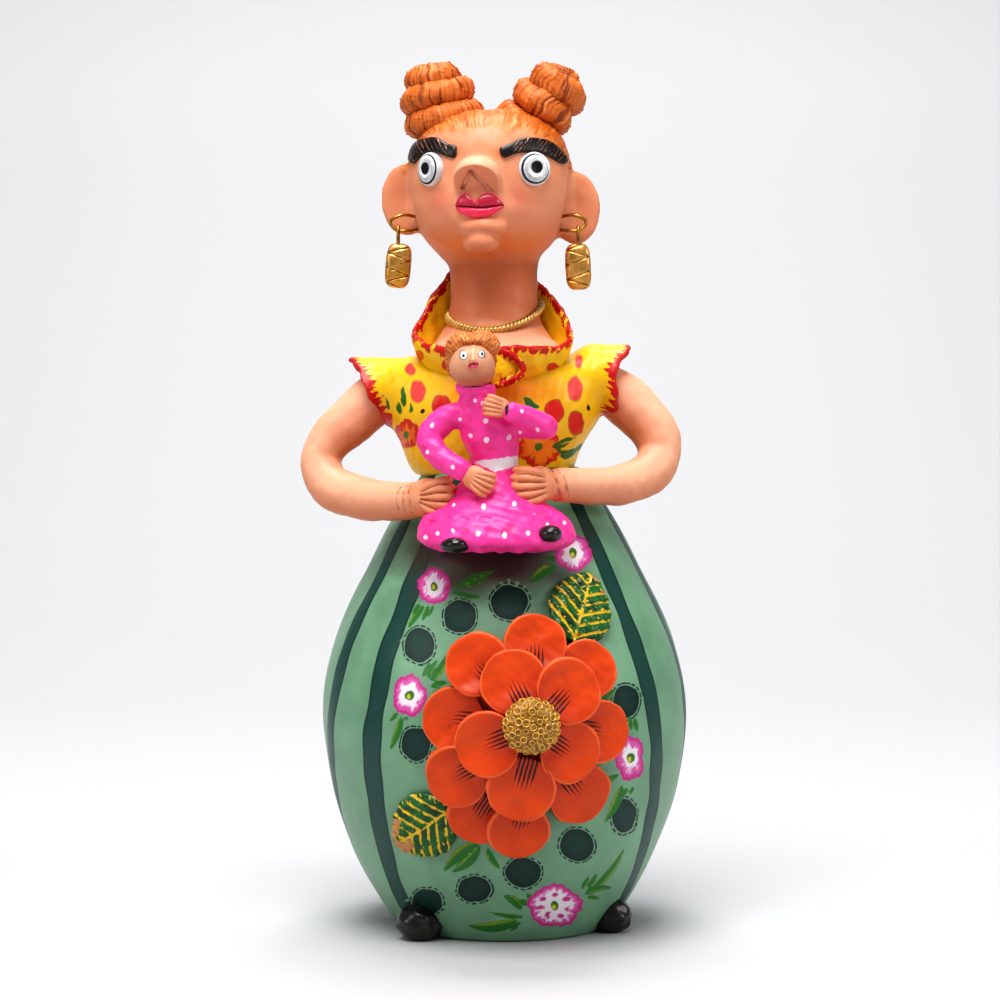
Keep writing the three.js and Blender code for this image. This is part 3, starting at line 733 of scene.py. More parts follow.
def skirt_paints(points):
    """The painted shapes on the skirt, as distances in mm inside each."""
    azimuth = np.degrees(np.arctan2(points[:, 0], -points[:, 1]))
    radius = np.hypot(points[:, 0], points[:, 1])
    middles = [np.polyval(np.polyfit(STRIPE_HEIGHTS, azimuths, 2), points[:, 2]) for azimuths in STRIPES]
    off = np.min([np.abs((azimuth - middle + 180) % 360 - 180) for middle in middles], 0)
    stripe = STRIPE_HALF * (0.45 + 0.55 * radius / WIDEST) - np.radians(off) * radius
    stripe += 0.4 * wobble(points, 22, 1)
    front = np.abs(azimuth) < 90
    at = in_picture(np.where(front[:, None], points, points * [-1, -1, 1]))
    drawn_at = shaken(at, points, 0.7, 6, 2)
    dot, dot_angle = inside_ovals(drawn_at, DOTS)
    dash_gap = np.where(dot > -2, -0.35 - np.sin(17 * dot_angle), -1)
    blossom, petal_angle = inside_blossoms(drawn_at, BLOSSOMS)
    eye, _ = inside_ovals(drawn_at, [(column, row, 4.2, 5.2) for column, row, *_ in BLOSSOMS])
    glint, _ = inside_ovals(at, [(column - 0.6, row + 1.2, 2.4, 2.6) for column, row, *_ in BLOSSOMS])
    ring, ring_angle = inside_ovals(drawn_at, BLOSSOM_RING)
    stroke, share = inside_strokes(at, LEAF_STROKES)
    rays = 0.45 * np.sin(23 * petal_angle + 2 * np.sin(3 * petal_angle)) + 0.3 * wobble(points, 2.6, 4)
    # The shadow of the child, painted onto the skirt as a soft brown patch.
    haze, _ = inside_ovals(at, PAINTED_CHILD_SHADOW)
    paints = {
        "haze": haze + 2 * wobble(points, 14, 6), "dot": dot, "dash_gap": dash_gap, "stroke": stroke,
        "stroke_light": np.minimum(stroke - 0.15, share - 0.42), "blossom": blossom,
        "blossom_white": blossom - 2 + rays, "blossom_eye": eye, "blossom_glint": glint,
        "blossom_ring": 0.55 - np.abs(ring) + 0.7 * np.sin(7 * ring_angle) + 0.4 * wobble(points, 2.6, 8),
    }
    side = np.where(front, 0, FAR)
    return {"stripe": stripe, **{name: values - side for name, values in paints.items()}}


# Acrylic paint brushed on fired clay and varnished: soft green, with thin-edged dark artwork on it,
# and the child's shadow painted on in brown.
skirt_finish = varnished("acrylic_green_skirt", green_ground, [
    ("stripe", "#0E3B33", -0.12, 0.12, 0), ("stripe", "#1B4E45", 0.45, 1.4, 0.3),
    ("haze", "#4D4039", -4, 9, 0.8), ("dot", "#08302A", -1.1, -0.94, 0.05),
    ("dash_gap", green_ground, -0.2, 0.2, 0), ("dot", green_ground, -0.58, -0.44, 0.05),
    ("dot", "#002C25", -0.22, -0.08, 0.1), ("dot", "#053C32", 0.4, 2.4, 0.6),
    ("stroke", "#2B7A2B", -0.1, 0.15, 0.05), ("stroke_light", "#B4B82C", -0.2, 0.5, 0.1),
    ("blossom", "#C6308C", -0.12, 0.12, 0.05), ("blossom", "#D964AE", 0.5, 1.4, 0.3),
    ("blossom_white", "#F0E6EE", -0.35, 0.6, 0.25), ("blossom_ring", "#C93C93", 0, 0.7, 0.25),
    ("blossom_eye", "#3F7A22", -0.12, 0.15, 0.08), ("blossom_glint", "#D8CF2A", -0.15, 0.2, 0.1)])
skirt_mesh = grown("skirt", turned, outline_mesh, Columns=331, Rows=len(outline), Crowding=0.36,
    Material=skirt_finish)
skirt_points = read_points(skirt_mesh)
press(skirt_mesh, 0.22 * wobble(skirt_points, 30, 5) * ease(3, 15, skirt_points[:, 2]))
finish_piece("skirt", skirt_mesh, skirt_finish, skirt_paints(skirt_points))

# %% [markdown]
# ## Shoes
#
# Two dark lumps peep out from under the hem and stand on the same ground as the pot. Each is a ball
# pressed against the skirt, with a flat sole.

# %% Shoes
# Black lacquer, thick and glossy: small lumps catch sharp lights.
shoe_finish = varnished("lacquered_black_shoe", "#1E1916", drift=0.3, roughness=0.3, varnish=0.5, lump=0.5,
    lump_mm=3, grain=0.3)
SHOES = [("right", -41.5, 45, (8.2, 9.5, 7.2)), ("left", 62, 43.8, (7.4, 8, 7))]
for side, azimuth, distance, halves in SHOES:
    toe = around(azimuth, distance, 6)
    lump = Clay(toe - 12, toe + 12, 0.5)
    lump.work(ball(toe, halves, z=azimuth))
    lump.work(ball(toe + around(azimuth, -3, 4.5), (4.5, 5.5, 5), z=azimuth), soft=3)
    lump.work(flat_side((0, 0, 0.05), (0, 0, 1)), soft=1.2, cut=True)
    mesh = lump.skin(f"{side}_shoe")
    at = read_points(mesh)
    press(mesh, 0.35 * wobble(at, 6, 6) * ease(0.5, 3, at[:, 2]))
    finish_piece(f"{side}_shoe", mesh, shoe_finish)

# %% [markdown]
# ## The large flower
#
# Fourteen round petals in two rings lie on a low boss on the skirt. Each is a flattened ball of clay,
# so one petal is modelled and set on marks that hold each petal's angle, distance and size. After
# that they are pushed about a little, so that no two are alike. The fine dark strokes at the base
# are worked out in the material from each point's place on its petal, so they stay sharp.

# %% Placing on the skirt
FLOWER_AZIMUTH, FLOWER_Z = 7.6, 82


def on_skirt(points, azimuth, z):
    """Places points that are modelled facing the front at the origin on the skirt."""
    return points @ turning(z=azimuth).T + around(azimuth, skirt_radius(z), z)


# %% One petal
PETAL_RADIUS, PETAL_THICKNESS = 11, 1.9
PETAL_RINGS, PETAL_SIDES, FRONT_RINGS = 28, 64, 19
PETAL_SECTION = [
    (0.02, 0.1), (0.2, 0.12), (0.36, 0.18), (0.5, 0.27), (0.62, 0.38), (0.73, 0.5), (0.82, 0.6), (0.9, 0.68),
    (0.95, 0.66), (0.985, 0.5), (1, 0.2), (0.985, -0.12), (0.95, -0.3), (0.85, -0.42), (0.6, -0.5),
    (0.3, -0.5),
]  # share of the radius, and height as a share of the thickness
share, height = np.array(PETAL_SECTION).T
petal_rings = facing_front(PETAL_RADIUS * share, height * PETAL_THICKNESS, PETAL_SIDES)
petal_rings *= 1 + 0.03 * np.cos(2 * full_turn(PETAL_SIDES))[:, None] * [1, 0, 1]
petal_rings = spline(petal_rings.reshape(len(share), -1), PETAL_RINGS).reshape(PETAL_RINGS, PETAL_SIDES, 3)
petal_points, petal_faces = skin(petal_rings)
petal_mesh = plain_mesh("petal", petal_points, petal_faces)
on_front = np.append(np.arange(PETAL_RINGS).repeat(PETAL_SIDES) < FRONT_RINGS, [True, False])
across, along = petal_points[:, 0], petal_points[:, 2]
keep_values(petal_mesh, "petal_place", np.stack([across, along, on_front], 1))
# A painted highlight along the rim, and painted shade towards the base and over the whole back.
keep_values(petal_mesh, "petal_rim", 1 - np.abs(np.hypot(across, along) - PETAL_RADIUS + 0.25) * 1.4)
keep_values(petal_mesh, "petal_base", np.where(on_front, -along / 6, 0.8))

# %% Painted strokes of a petal
# Orange-red acrylic, with a painted highlight along the rim and painted shade towards the base.
petal_finish = varnished("acrylic_orange_petal", "#E0520C",
    [("petal_base", "#C43A06", -0.6, 1.5, 0), ("petal_rim", "#F07A40", 0.2, 1.1, 0.1)], drift=0.1,
    drift_mm=9, roughness=0.48, varnish=0.08, lump=0.25)
LANE = 1.35  # mm between strokes
BASE, TIP = 7.4, 1.2  # mm from the petal's middle back to where the strokes start, and on to their tips
tree = petal_finish.node_tree
place = add(tree, "ShaderNodeAttribute", attribute_name="petal_place")
parts = add(tree, "ShaderNodeSeparateXYZ", {"Vector": place.outputs["Vector"]})
lane = add(tree, "ShaderNodeMath", {0: parts.outputs["X"], 1: LANE}, operation="DIVIDE")
whole = add(tree, "ShaderNodeMath", {0: lane}, operation="ROUND")
beside = add(tree, "ShaderNodeMath", {0: lane, 1: whole}, operation="SUBTRACT")
off = add(tree, "ShaderNodeMath", {0: beside}, operation="ABSOLUTE")
outer = add(tree, "ShaderNodeMath", {0: whole, 1: whole}, operation="MULTIPLY")
length = add(tree, "ShaderNodeMath", {0: outer, 1: -0.55, 2: BASE + TIP}, operation="MULTIPLY_ADD")
way = add(tree, "ShaderNodeMath", {0: parts.outputs["Y"], 1: BASE}, operation="ADD")
share = add(tree, "ShaderNodeMath", {0: way, 1: length}, operation="DIVIDE")
width = add(tree, "ShaderNodeMapRange",
    {"Value": share, "From Min": 0.35, "From Max": 1, "To Min": 0.29, "To Max": 0})
reach = add(tree, "ShaderNodeMath", {0: width, 1: off}, operation="SUBTRACT")
few = add(tree, "ShaderNodeMath", {0: outer, 1: 5}, operation="LESS_THAN")
front = add(tree, "ShaderNodeMath", {0: few, 1: parts.outputs["Z"]}, operation="MULTIPLY")
cover = add(tree, "ShaderNodeMapRange", {"Value": reach, "From Min": -0.03, "From Max": 0.05})
drawn = add(tree, "ShaderNodeMath", {0: cover, 1: front}, operation="MULTIPLY")
base_colour = tree.nodes["Principled BSDF"].inputs["Base Color"]
streaked = add(tree, "ShaderNodeMix", {0: drawn, 6: base_colour.links[0].from_socket, 7: colour("#4E0D06")},
    data_type="RGBA")
tree.links.new(streaked.outputs[2], base_colour)

# %% Petals in two rings
INNER_PETALS = [
    (115, 16.6, 11.6, 7.4), (45, 16.8, 11.6, 9.1), (-36, 15.4, 11, 8), (-101, 22.2, 12, 7),
    (200, 17.4, 11.6, 8.8),
]
OUTER_PETALS = [
    (87, 27.4, 11, 1.2), (132, 28, 11.2, 2.7), (176, 27, 11.2, 1.2), (215, 31.4, 11.2, 2.8),
    (241, 37.6, 10.4, -0.4), (264, 37.6, 10.8, 2), (305, 30.6, 11.6, 0.4), (353, 24.6, 11, 2.7),
    (43, 27, 10.6, 0.8),
]  # angle from the figure's left, distance from the middle, radius, height above the skirt
petal_marks = []
for petals, tip in ((OUTER_PETALS, 17), (INNER_PETALS, 11)):
    for number, (angle, distance, radius, height) in enumerate(petals):
        spread = turning(y=90 - angle)
        beside, up = distance * math.cos(math.radians(angle)), distance * math.sin(math.radians(angle))
        falls = skirt_radius(FLOWER_Z) - math.sqrt(skirt_radius(FLOWER_Z + up) ** 2 - beside**2)
        # The lower petals of the outer ring follow the skirt as it falls away.
        droop = 0.45 * falls * ease(0, 18, -up) if petals is OUTER_PETALS else 0
        place = np.array([0, droop - height, distance]) @ spread.T
        tipped = turning(x=-tip - 1.8 * droop, y=5 * math.sin(3 * number))
        size = radius / PETAL_RADIUS
        petal_marks.append((on_skirt(place[None], FLOWER_AZIMUTH, FLOWER_Z)[0],
                turning(z=FLOWER_AZIMUTH) @ spread @ tipped, (size, 1, size)))
petals_mesh = copied("petals", petal_mesh, petal_marks, petal_finish)
at = read_points(petals_mesh)
press(petals_mesh, 0.3 * wobble(at, 11, 7) + 0.08 * wobble(at, 4, 8))
finish_piece("petals", petals_mesh, petal_finish)

# %% Boss under the petals
boss = Clay((-32, -12, -32), (32, 8, 32), 1.8)
boss.work(ball((0, 0, 0), (24, 4, 24)))
boss_mesh = boss.skin("flower_boss")
boss_points = on_skirt(read_points(boss_mesh), FLOWER_AZIMUTH, FLOWER_Z)
move_points(boss_mesh, boss_points)
finish_piece("flower_boss", boss_mesh, petal_finish)

# %% [markdown]
# ### The flower's eye
#
# A domed button of clay, pricked all over with a small tube, then painted gold with yellow in the
# pits. The pricks stand in rings, so they are copies of one small cup on marks over the dome.

# %% Dome and cups
DOME_AT, DOME_HALVES = np.array([-1.2, -11.3, 0.4]), np.array([9.8, 4.8, 9.8])
DOME_RINGS, DOME_SIDES = 22, 80
# Gold paint on clay, with yellow left in the pits: broken, warm glints.
gilt_finish = varnished("gilt_clay", "#D9AF58", [("pit", "#E2B516", 0, 0.3, 0.15)], drift=0.25, drift_mm=3,
    roughness=0.3, varnish=0.3, lump=0.4, lump_mm=1.6, grain=0.3)
rise = np.linspace(0.06, math.pi * 0.62, DOME_RINGS)
dome_rings = facing_front(np.sin(rise), np.cos(rise), DOME_SIDES) * DOME_HALVES + DOME_AT
dome_points, dome_faces = skin(dome_rings)
dome_points += 0.18 * wobble(dome_points, 3, 9)[:, None] * [0, 1, 0]
# The same gold, with brown shade painted between the cups, which sets them off.
dome_finish = varnished("gilt_crevices", "#B78432", [("crease", "#5E3C10", 0, 1.4, 0.4)], drift=0.25,
    drift_mm=3, lump=0.4)
dome_mesh = plain_mesh("flower_eye", on_skirt(dome_points, FLOWER_AZIMUTH, FLOWER_Z), dome_faces)
finish_piece("flower_eye", dome_mesh, dome_finish, {"crease": 0.5 + 0.4 * wobble(dome_points, 2, 10)})
CUP_SIDES = 14
CUP_SECTION = [(0.05, -0.2), (0.55, -0.18), (0.85, 0.1), (1, 0.5), (1.22, 0.52), (1.38, 0.1), (1.42, -0.6)]
cup_points, cup_faces = skin(facing_front(*np.array(CUP_SECTION).T, CUP_SIDES))
cup_mesh = plain_mesh("cup", cup_points, cup_faces)
keep_values(cup_mesh, "pit", 0.95 - np.hypot(cup_points[:, 0], cup_points[:, 2]))
dice = np.random.default_rng(11)
cup_marks = []
for ring_share, count in ((0, 1), (0.3, 6), (0.55, 11), (0.78, 16), (0.95, 20)):
    for k in range(count):
        angle = 2 * math.pi * (k + 0.35 * dice.random()) / count + ring_share * 5
        lean = math.asin(ring_share)
        way = np.array([math.sin(lean) * math.cos(angle), -math.cos(lean), math.sin(lean) * math.sin(angle)])
        normal = way / DOME_HALVES
        normal /= np.linalg.norm(normal)
        across = np.cross(normal, [0.3, 0.1, 1])
        across /= np.linalg.norm(across)
        tilt_of_cup = np.stack([across, -normal, np.cross(across, -normal)], 1)
        place = DOME_AT + way * DOME_HALVES - 0.2 * normal
        size = dice.uniform(0.75, 1.15)
        cup_marks.append((on_skirt(place[None], FLOWER_AZIMUTH, FLOWER_Z)[0],
                turning(z=FLOWER_AZIMUTH) @ tilt_of_cup, (size, size, size)))
finish_piece("flower_eye_cups", copied("flower_eye_cups", cup_mesh, cup_marks, gilt_finish), gilt_finish)

# %% [markdown]
# ## Two leaves
#
# A leaf is a small slab, pinched thin at the edge. Its midrib and side veins are pressed in with a
# tool, painted yellow over green, and the tip is left bare clay.

# %% Leaf
# Dark green acrylic with yellow dragged over the veins, and bare ochre clay at the tip.
leaf_finish = varnished("acrylic_green_leaf", "#1C6B2C", [
    ("leaf_dark", "#0F4420", 0, 0.8, 0.3), ("leaf_vein", "#E6BE22", -0.16, 0.1, 0.22),
    ("leaf_fleck", "#D9BE2E", 0, 0.25, 0.25), ("leaf_bare", "#C08A55", -0.3, 0.6, 0.5)], drift=0.2,
    drift_mm=4, roughness=0.38, lump=0.5, lump_mm=2)
LEAF_VEINS, LEAF_ROWS, LEAF_SIDES = 7, 80, 108


def leaf(name, azimuth, z, half_width, half_length, turn, slope, bare, seed):
    """A veined leaf laid on the skirt, turned and sloped in degrees, bare beyond a share of its length."""
    t, a = np.meshgrid(np.linspace(0.02, 0.98, LEAF_ROWS), full_turn(LEAF_SIDES), indexing="ij")
    width = half_width * np.sin(math.pi * t**0.9) ** 0.62 * (1 + 0.03 * np.sin(34 * t))
    across, along = width * np.cos(a), half_length * (2 * t - 1)
    thick = 2.4 * np.sin(math.pi * t) ** 0.4
    face = np.sin(a) < 0
    depth = thick * np.sin(a) * np.where(face, 1, 0.7) * (1 - 0.25 * np.cos(a) ** 2)
    rib = np.abs(across + 0.4 * np.sin(3 * t))
    lane = (along - 0.75 * np.abs(across)) / (2 * half_length / LEAF_VEINS)
    vein = np.abs(lane - np.round(lane)) * 2 * half_length / LEAF_VEINS / 1.25
    off = np.minimum(vein, rib)
    points = np.stack([across, depth, along], -1).reshape(-1, 3)
    off, face, unraised = off.ravel(), face.ravel(), points.copy()
    groove = np.exp(-(off / 0.45) ** 2) * face
    points[:, 1] += 0.5 * groove - 0.9 * np.cos(points[:, 0] / half_width * 1.4) * face
    points[:, 1] += 0.2 * wobble(unraised, 2.5, seed)
    paints = {
        "leaf_vein": np.where(face, 0.46 - off - 0.4 * ease(0.2, 1, wobble(points, 4, seed + 1)), -FAR),
        "leaf_dark": 0.5 * wobble(points, 6, seed + 2) + 0.3,
        "leaf_fleck": wobble(points * [1, 1, 2.5], 2.2, seed + 3) - 0.95,
        "leaf_bare": points[:, 2] - half_length * bare + 2.4 * wobble(points, 5, seed + 4),
    }
    points, faces = skin(points.reshape(LEAF_ROWS, LEAF_SIDES, 3))
    laid = points @ turning(y=turn).T @ turning(x=-slope).T + [0, -1.6, 0]
    for paint, values in paints.items():
        paints[paint] = np.append(values, [values[:LEAF_SIDES].mean(), values[-LEAF_SIDES:].mean()])
    finish_piece(name, plain_mesh(name, on_skirt(laid, azimuth, z), faces), leaf_finish, paints)


leaf("upper_leaf", 27.6, 120.4, 12, 14.6, 28, 25, 0.9, 20)
leaf("lower_leaf", -26.5, 44.5, 11.8, 14.4, -122, -14, 0.6, 30)

# %% [markdown]
# ## Blouse
#
# The blouse is a broad oval body with two cap sleeves like short trumpets. The sleeves are pressed on
# and smoothed in, and their mouths are hollowed with a thumb, which leaves a thin wavy rim.

# %% Blouse and sleeves
BODY_X = -4.5
BLOUSE = [
    (165.2, 26, 23), (167, 29.4, 26.2), (177, 34, 28.4), (185, 38.2, 29), (192, 41.2, 28.5),
    (199, 42.2, 26.5), (205.5, 38.6, 23), (212, 22, 15),
]  # height, half width, half depth
SLEEVES = [
    {"side": -1, "x": 50.5, "z": 197, "half": 13.8, "lean": 29, "wave": 0.7, "phase": 0.6},
    {"side": 1, "x": 42.4, "z": 200.6, "half": 13.4, "lean": 13, "wave": 1.5, "phase": 2.2},
]


def in_sleeve(rim, x, y, z):
    """Places measured in a sleeve: mm out from its rim, share of its width, angle, and its width."""
    lean, side = math.radians(rim["lean"]), rim["side"]
    levels = np.array([
        (20, 201, 8, 12), (rim["x"] - 13.5, rim["z"] + 4, 9.6, 12.6),
        (rim["x"] - 6, rim["z"] + 2.6, 11.2, 13.4), (rim["x"], rim["z"], rim["half"], 15.5)])

    def along(right, above):
        return ((right - rim["x"]) * math.cos(lean) - (above - rim["z"]) * math.sin(lean),
            (right - rim["x"]) * math.sin(lean) + (above - rim["z"]) * math.cos(lean))

    line = spline(np.column_stack([*along(levels[:, 0], levels[:, 1]), levels[:, 2:]]), 60)
    out, up = along(side * x, z)
    middle, half_up, half_deep = (np.interp(out, line[:, 0], line[:, k]) for k in (1, 2, 3))
    across, high = y / half_deep, (up - middle) / half_up
    return out, np.hypot(across, high), np.arctan2(across, high), np.minimum(half_up, half_deep)


def funnel(rim, thinner=0, bottom=-40, beyond=0):
    """The trumpet of a sleeve, or with thinner walls what is hollowed out of it."""
    def distance(x, y, z):
        out, share, angle, half = in_sleeve(rim, x, y, z)
        wave = np.sin(3 * angle + rim["phase"])
        wall = (share - 1) * half + thinner - 0.5 * wave * ease(-9, 0, out)
        lip = out - rim["wave"] * wave - 0.3 * np.sin(10 * angle + 1) - beyond
        return soft_join(soft_join(wall, lip, 1.2, cut=True), bottom - out, 1.2, cut=True)

    middle = np.array([rim["side"] * (rim["x"] - 12), 0, rim["z"]])
    return [(distance, middle - 21, middle + 21)]


blouse = Clay((-72, -32, 163), (64, 32, 218), 0.76)
blouse.work(stack([(z, BODY_X, 0, width, depth) for z, width, depth in BLOUSE], 2))
for rim in SLEEVES:
    blouse.work(funnel(rim), soft=5)
for rim in SLEEVES:
    blouse.work(funnel(rim, thinner=2.1, bottom=-6, beyond=8), soft=0.8, cut=True)
blouse_mesh = blouse.skin("blouse")
at = read_points(blouse_mesh)
press(blouse_mesh, 0.3 * wobble(at, 16, 40) + 0.08 * wobble(at, 4, 41))

# %% Blouse painting
BLOUSE_SPOTS = {
    "pink_spot": [(410.4, 369.4, 5, 5.5), (417.5, 392, 7.5, 11), (575, 389, 7.5, 12), (578.5, 361.5, 3.5, 7),
        (627, 372, 4, 7)], "red_spot": [(441.4, 406.4, 9, 10.8), (554.3, 411, 9, 11), (575.7, 423, 7, 11)],
    "black_dot": [(422.8, 411, 2.4, 2.6), (588.7, 407.7, 1.6, 3)],
    "flower_eye": [(406.5, 434.5, 2.8, 3.6), (538.5, 446.5, 4.2, 4)],
}
RED_FLOWERS = [(407, 434, 13, 15, 20), (539, 446.5, 23, 22, 50)]
GREEN_STROKES = [
    (404, 407, 403, 385, 5, 0), (400, 414, 398, 401, 4, 0), (411, 413, 411, 402, 3, 0),
    (524, 398, 540, 408, 8, 2), (553, 446, 577, 437, 4, -1), (553, 447, 570, 442, 3, 2),
    (559, 452, 592, 436, 4, 5), (560, 456, 575, 452, 5, 2), (556, 449, 566, 456, 3, 0),
    (389, 410, 386, 397, 3, 0),
]


def painted_shade_under_collar(at, points):
    """The orange shade painted under the collar."""
    return 0.95 * np.exp(-((at[:, 0] - 505) / 62) ** 2 - ((at[:, 1] - 391) / 17) ** 2) * (points[:, 1] < -8)


def blouse_paints(points):
    """The painted shapes on the blouse, as distances in mm inside each, and the shade on it."""
    at = shaken(in_picture(points), points, 0.5, 4, 42)
    hidden = np.where(points[:, 1] < -4, 0, FAR)
    fringe = np.full(len(points), -FAR)
    for rim in SLEEVES:
        out, share, angle, _ = in_sleeve(rim, *points.T)
        edge = rim["wave"] * np.sin(3 * angle + rim["phase"])
        teeth = 0.5 + 0.5 * np.sin(31 * angle + 3 * np.sin(7 * angle)) * np.sin(13 * angle + 1)
        length = 1.3 + 3.2 * teeth * (1 + 0.8 * ease(0.4, 2.6, np.abs(angle)))
        fringe = np.maximum(fringe, np.where((out > -9) & (share < 1.3), length - (edge - out), -FAR))
    flower, spin = inside_blossoms(at, RED_FLOWERS)
    strokes, _ = inside_strokes(at, GREEN_STROKES)
    rays = 0.9 * np.sin(9 * spin + 2 * np.sin(4 * spin)) + 0.6 * wobble(points, 3, 44)
    return {**{name: inside_ovals(at, spots)[0] - hidden for name, spots in BLOUSE_SPOTS.items()},
        "red_flower": flower - hidden, "flower_heart": flower - 1.6 + rays - hidden,
        "green_stroke": strokes - hidden, "fringe": fringe, "haze": painted_shade_under_collar(at, points)}


# Bright yellow acrylic: flat, clean colour, with dabbed spots and a ragged red edge, orange shade
# painted under the collar, and light painted inside it.
blouse_finish = varnished("acrylic_yellow_blouse", "#F2C60C", [
    ("haze", "#E98A1A", 0, 1, 0), ("lining", "#FFD92E", 0, 1, 0), ("pink_spot", "#C9A21A", -0.5, -0.1, 0.1),
    ("pink_spot", "#E0433F", -0.1, 0.15, 0.1), ("red_spot", "#A9610F", -0.55, -0.2, 0.1),
    ("red_spot", "#D3200F", -0.12, 0.15, 0.1), ("black_dot", "#17130E", -0.1, 0.15, 0),
    ("red_flower", "#CF2A0C", -0.2, 0.3, 0.3), ("flower_heart", "#F08A12", -0.4, 1.4, 0.5),
    ("flower_eye", "#4E7A16", -0.15, 0.2, 0.1), ("green_stroke", "#2F6E1E", -0.12, 0.25, 0.1),
    ("fringe", "#C4160F", -0.15, 0.35, 0.45)], drift=0.08)
finish_piece("blouse", blouse_mesh, blouse_finish, blouse_paints(read_points(blouse_mesh)))

# %% [markdown]
# ## Collar
#
# The collar is one strip of clay that stands up close behind the neck and opens into a wide bowl in
# front. Its section changes steadily round the neck, so it is drawn as a loop of sections. The free
# end is folded over in front as a small tongue. All edges are dabbed with red.

# %% Collar
COLLAR_WALL = 2.3
azimuths = np.linspace(0, 360, 300, endpoint=False)
back = (1 - np.cos(np.radians(azimuths))) / 2
shaky = wobble(np.stack([20 * np.cos(np.radians(azimuths)), 20 * np.sin(np.radians(azimuths))], 1), 9, 50)
rim_z = 212 + 34 * ease(0, 1, back) ** 1.3 + 0.7 * np.sin(np.radians(5 * azimuths)) + 0.45 * shaky
rim_r = 33.4 - 13.6 * ease(0.2, 0.8, back) + 0.35 * np.roll(shaky, 40)
foot_z, foot_r = 198.5 + 8 * back, 25 - 4 * back
sections, from_rim = [], []
for t in np.linspace(0, 1, 26):  # up the outside
    sections.append((foot_r + (rim_r - foot_r) * math.sin(t * math.pi / 2), foot_z + (rim_z - foot_z) * t))
    from_rim.append((1 - t) * 14)
for a in np.linspace(20, 160, 7):  # over the rim
    sections.append((rim_r - COLLAR_WALL / 2 + COLLAR_WALL / 2 * math.cos(math.radians(a)),
            rim_z + COLLAR_WALL / 2 * math.sin(math.radians(a))))
    from_rim.append(0)
for t in np.linspace(1, 0, 26):  # down the inside
    sections.append((foot_r + (rim_r - foot_r) * math.sin(t * math.pi / 2) - COLLAR_WALL,
            foot_z + 4 + (rim_z - foot_z - 4) * t))
    from_rim.append((1 - t) * 14)
sections = np.array(sections)  # loop of section points by radius or height by azimuth
rings = around(azimuths[:, None], sections[:, 0].T, sections[:, 1].T, BODY_X)
collar_points, collar_faces = skin(rings, closed=True)
rim_middle = around(azimuths, rim_r - COLLAR_WALL / 2, rim_z, BODY_X)
rim_off = np.linalg.norm(rings - rim_middle[:, None], axis=2).ravel()
outer = np.tile(np.arange(len(from_rim)) < 30, len(azimuths))
teeth = wobble(collar_points, 2.2, 51) + 0.6 * wobble(collar_points, 5, 52)
COLLAR_DOTS = [(418.8, 355.7, 4.2, 4.6), (446.5, 365, 4, 4.6), (552.7, 368, 5, 4.6), (470, 372, 4, 4)]
dots, _ = inside_ovals(in_picture(collar_points), COLLAR_DOTS)
dots = np.where(outer & (collar_points[:, 1] < 0), dots, -FAR)
# The inside of the collar is painted lighter, as light falling into it; its outside takes the painted shade.
collar_paints = {
    "fringe": 1.9 - rim_off + 0.7 * teeth, "red_spot": dots, "lining": 1 - outer,
    "haze": painted_shade_under_collar(in_picture(collar_points), collar_points) * outer,
}
collar_mesh = plain_mesh("collar", collar_points, collar_faces)
press(collar_mesh, 0.2 * wobble(collar_points, 7, 53) - 0.18 * ease(0, 1, teeth) * (rim_off < 2.6))
finish_piece("collar", collar_mesh, blouse_finish, collar_paints)

# %% Folded tongue of the collar
TONGUE_EDGE = [
    (-6, -33.4, 212.4, 1.1), (0, -34.4, 211.4, 1.2), (5, -35, 208, 1.3), (6.6, -35.2, 204.4, 1.35),
    (3.4, -34.8, 201, 1.3), (-3, -33.4, 199, 1.1), (-7, -32.4, 199.6, 1),
]
tongue = Clay((-12, -39, 194), (11, -27, 217), 0.33)
tongue.work(ball((-3, -33.4, 205.6), (8.6, 1.9, 6.4), y=12, z=6))
tongue.work(rope(TONGUE_EDGE), soft=1.2)
tongue_mesh = tongue.skin("collar_tongue")
tongue_points = read_points(tongue_mesh)
edge_line = spline(TONGUE_EDGE, 80)[:, :3]
edge_off = np.min(np.linalg.norm(tongue_points[:, None] - edge_line[None], axis=2), 1)
teeth = wobble(tongue_points, 2.2, 54)
press(tongue_mesh, 0.15 * wobble(tongue_points, 3, 55) - 0.2 * ease(0.2, 0.9, teeth))
finish_piece("collar_tongue", tongue_mesh, blouse_finish, {"fringe": 1.9 - edge_off + 0.6 * teeth})

# %% [markdown]
# ## Head
#
# Chest, neck and head are one turned lump, and everything on the face is pressed onto it: a ball nose
# sliced flat underneath, a chin, thin saucer ears. The field keeps the small fillets between them.

# %% Head clay
HEAD_X, HEAD_DEPTH, FACE_TURN, NECK_SHIFT, CHEST_SHIFT = -5.2, 0.94, -9, 1.5, -4
HEAD_OUTLINE = [
    (208, 24.6), (211, 24.6), (219, 19.6), (225, 16.9), (241, 16.2), (247, 18.8), (253.5, 24.4), (261, 28.2),
    (272, 29.8), (283, 29.2), (291, 26.2), (297, 19.5), (299.8, 12), (300.9, 3),
]
head_side = spline(HEAD_OUTLINE, 160)


def head_radius(z):
    return np.interp(z, head_side[:, 0], head_side[:, 1])


def on_face(azimuth, radius, z):
    return around(FACE_TURN + azimuth, radius, z, HEAD_X, HEAD_DEPTH)


def sliced(parts, point, facing, soft=0.8):
    """A shape with everything in front of a plane sliced off."""
    plane = flat_side(point, facing)[0][0]
    return [(lambda x, y, z, near=near: soft_join(near(x, y, z), plane(x, y, z), soft, cut=True), low, high)
            for near, low, high in parts]


def seen_on_plane(column, row, point, facing):
    """The point of a plane that the picture shows at a place."""
    way = seen(column, row, 0) - CAMERA_AT
    return CAMERA_AT + way * (((point - CAMERA_AT) @ facing) / (way @ facing))


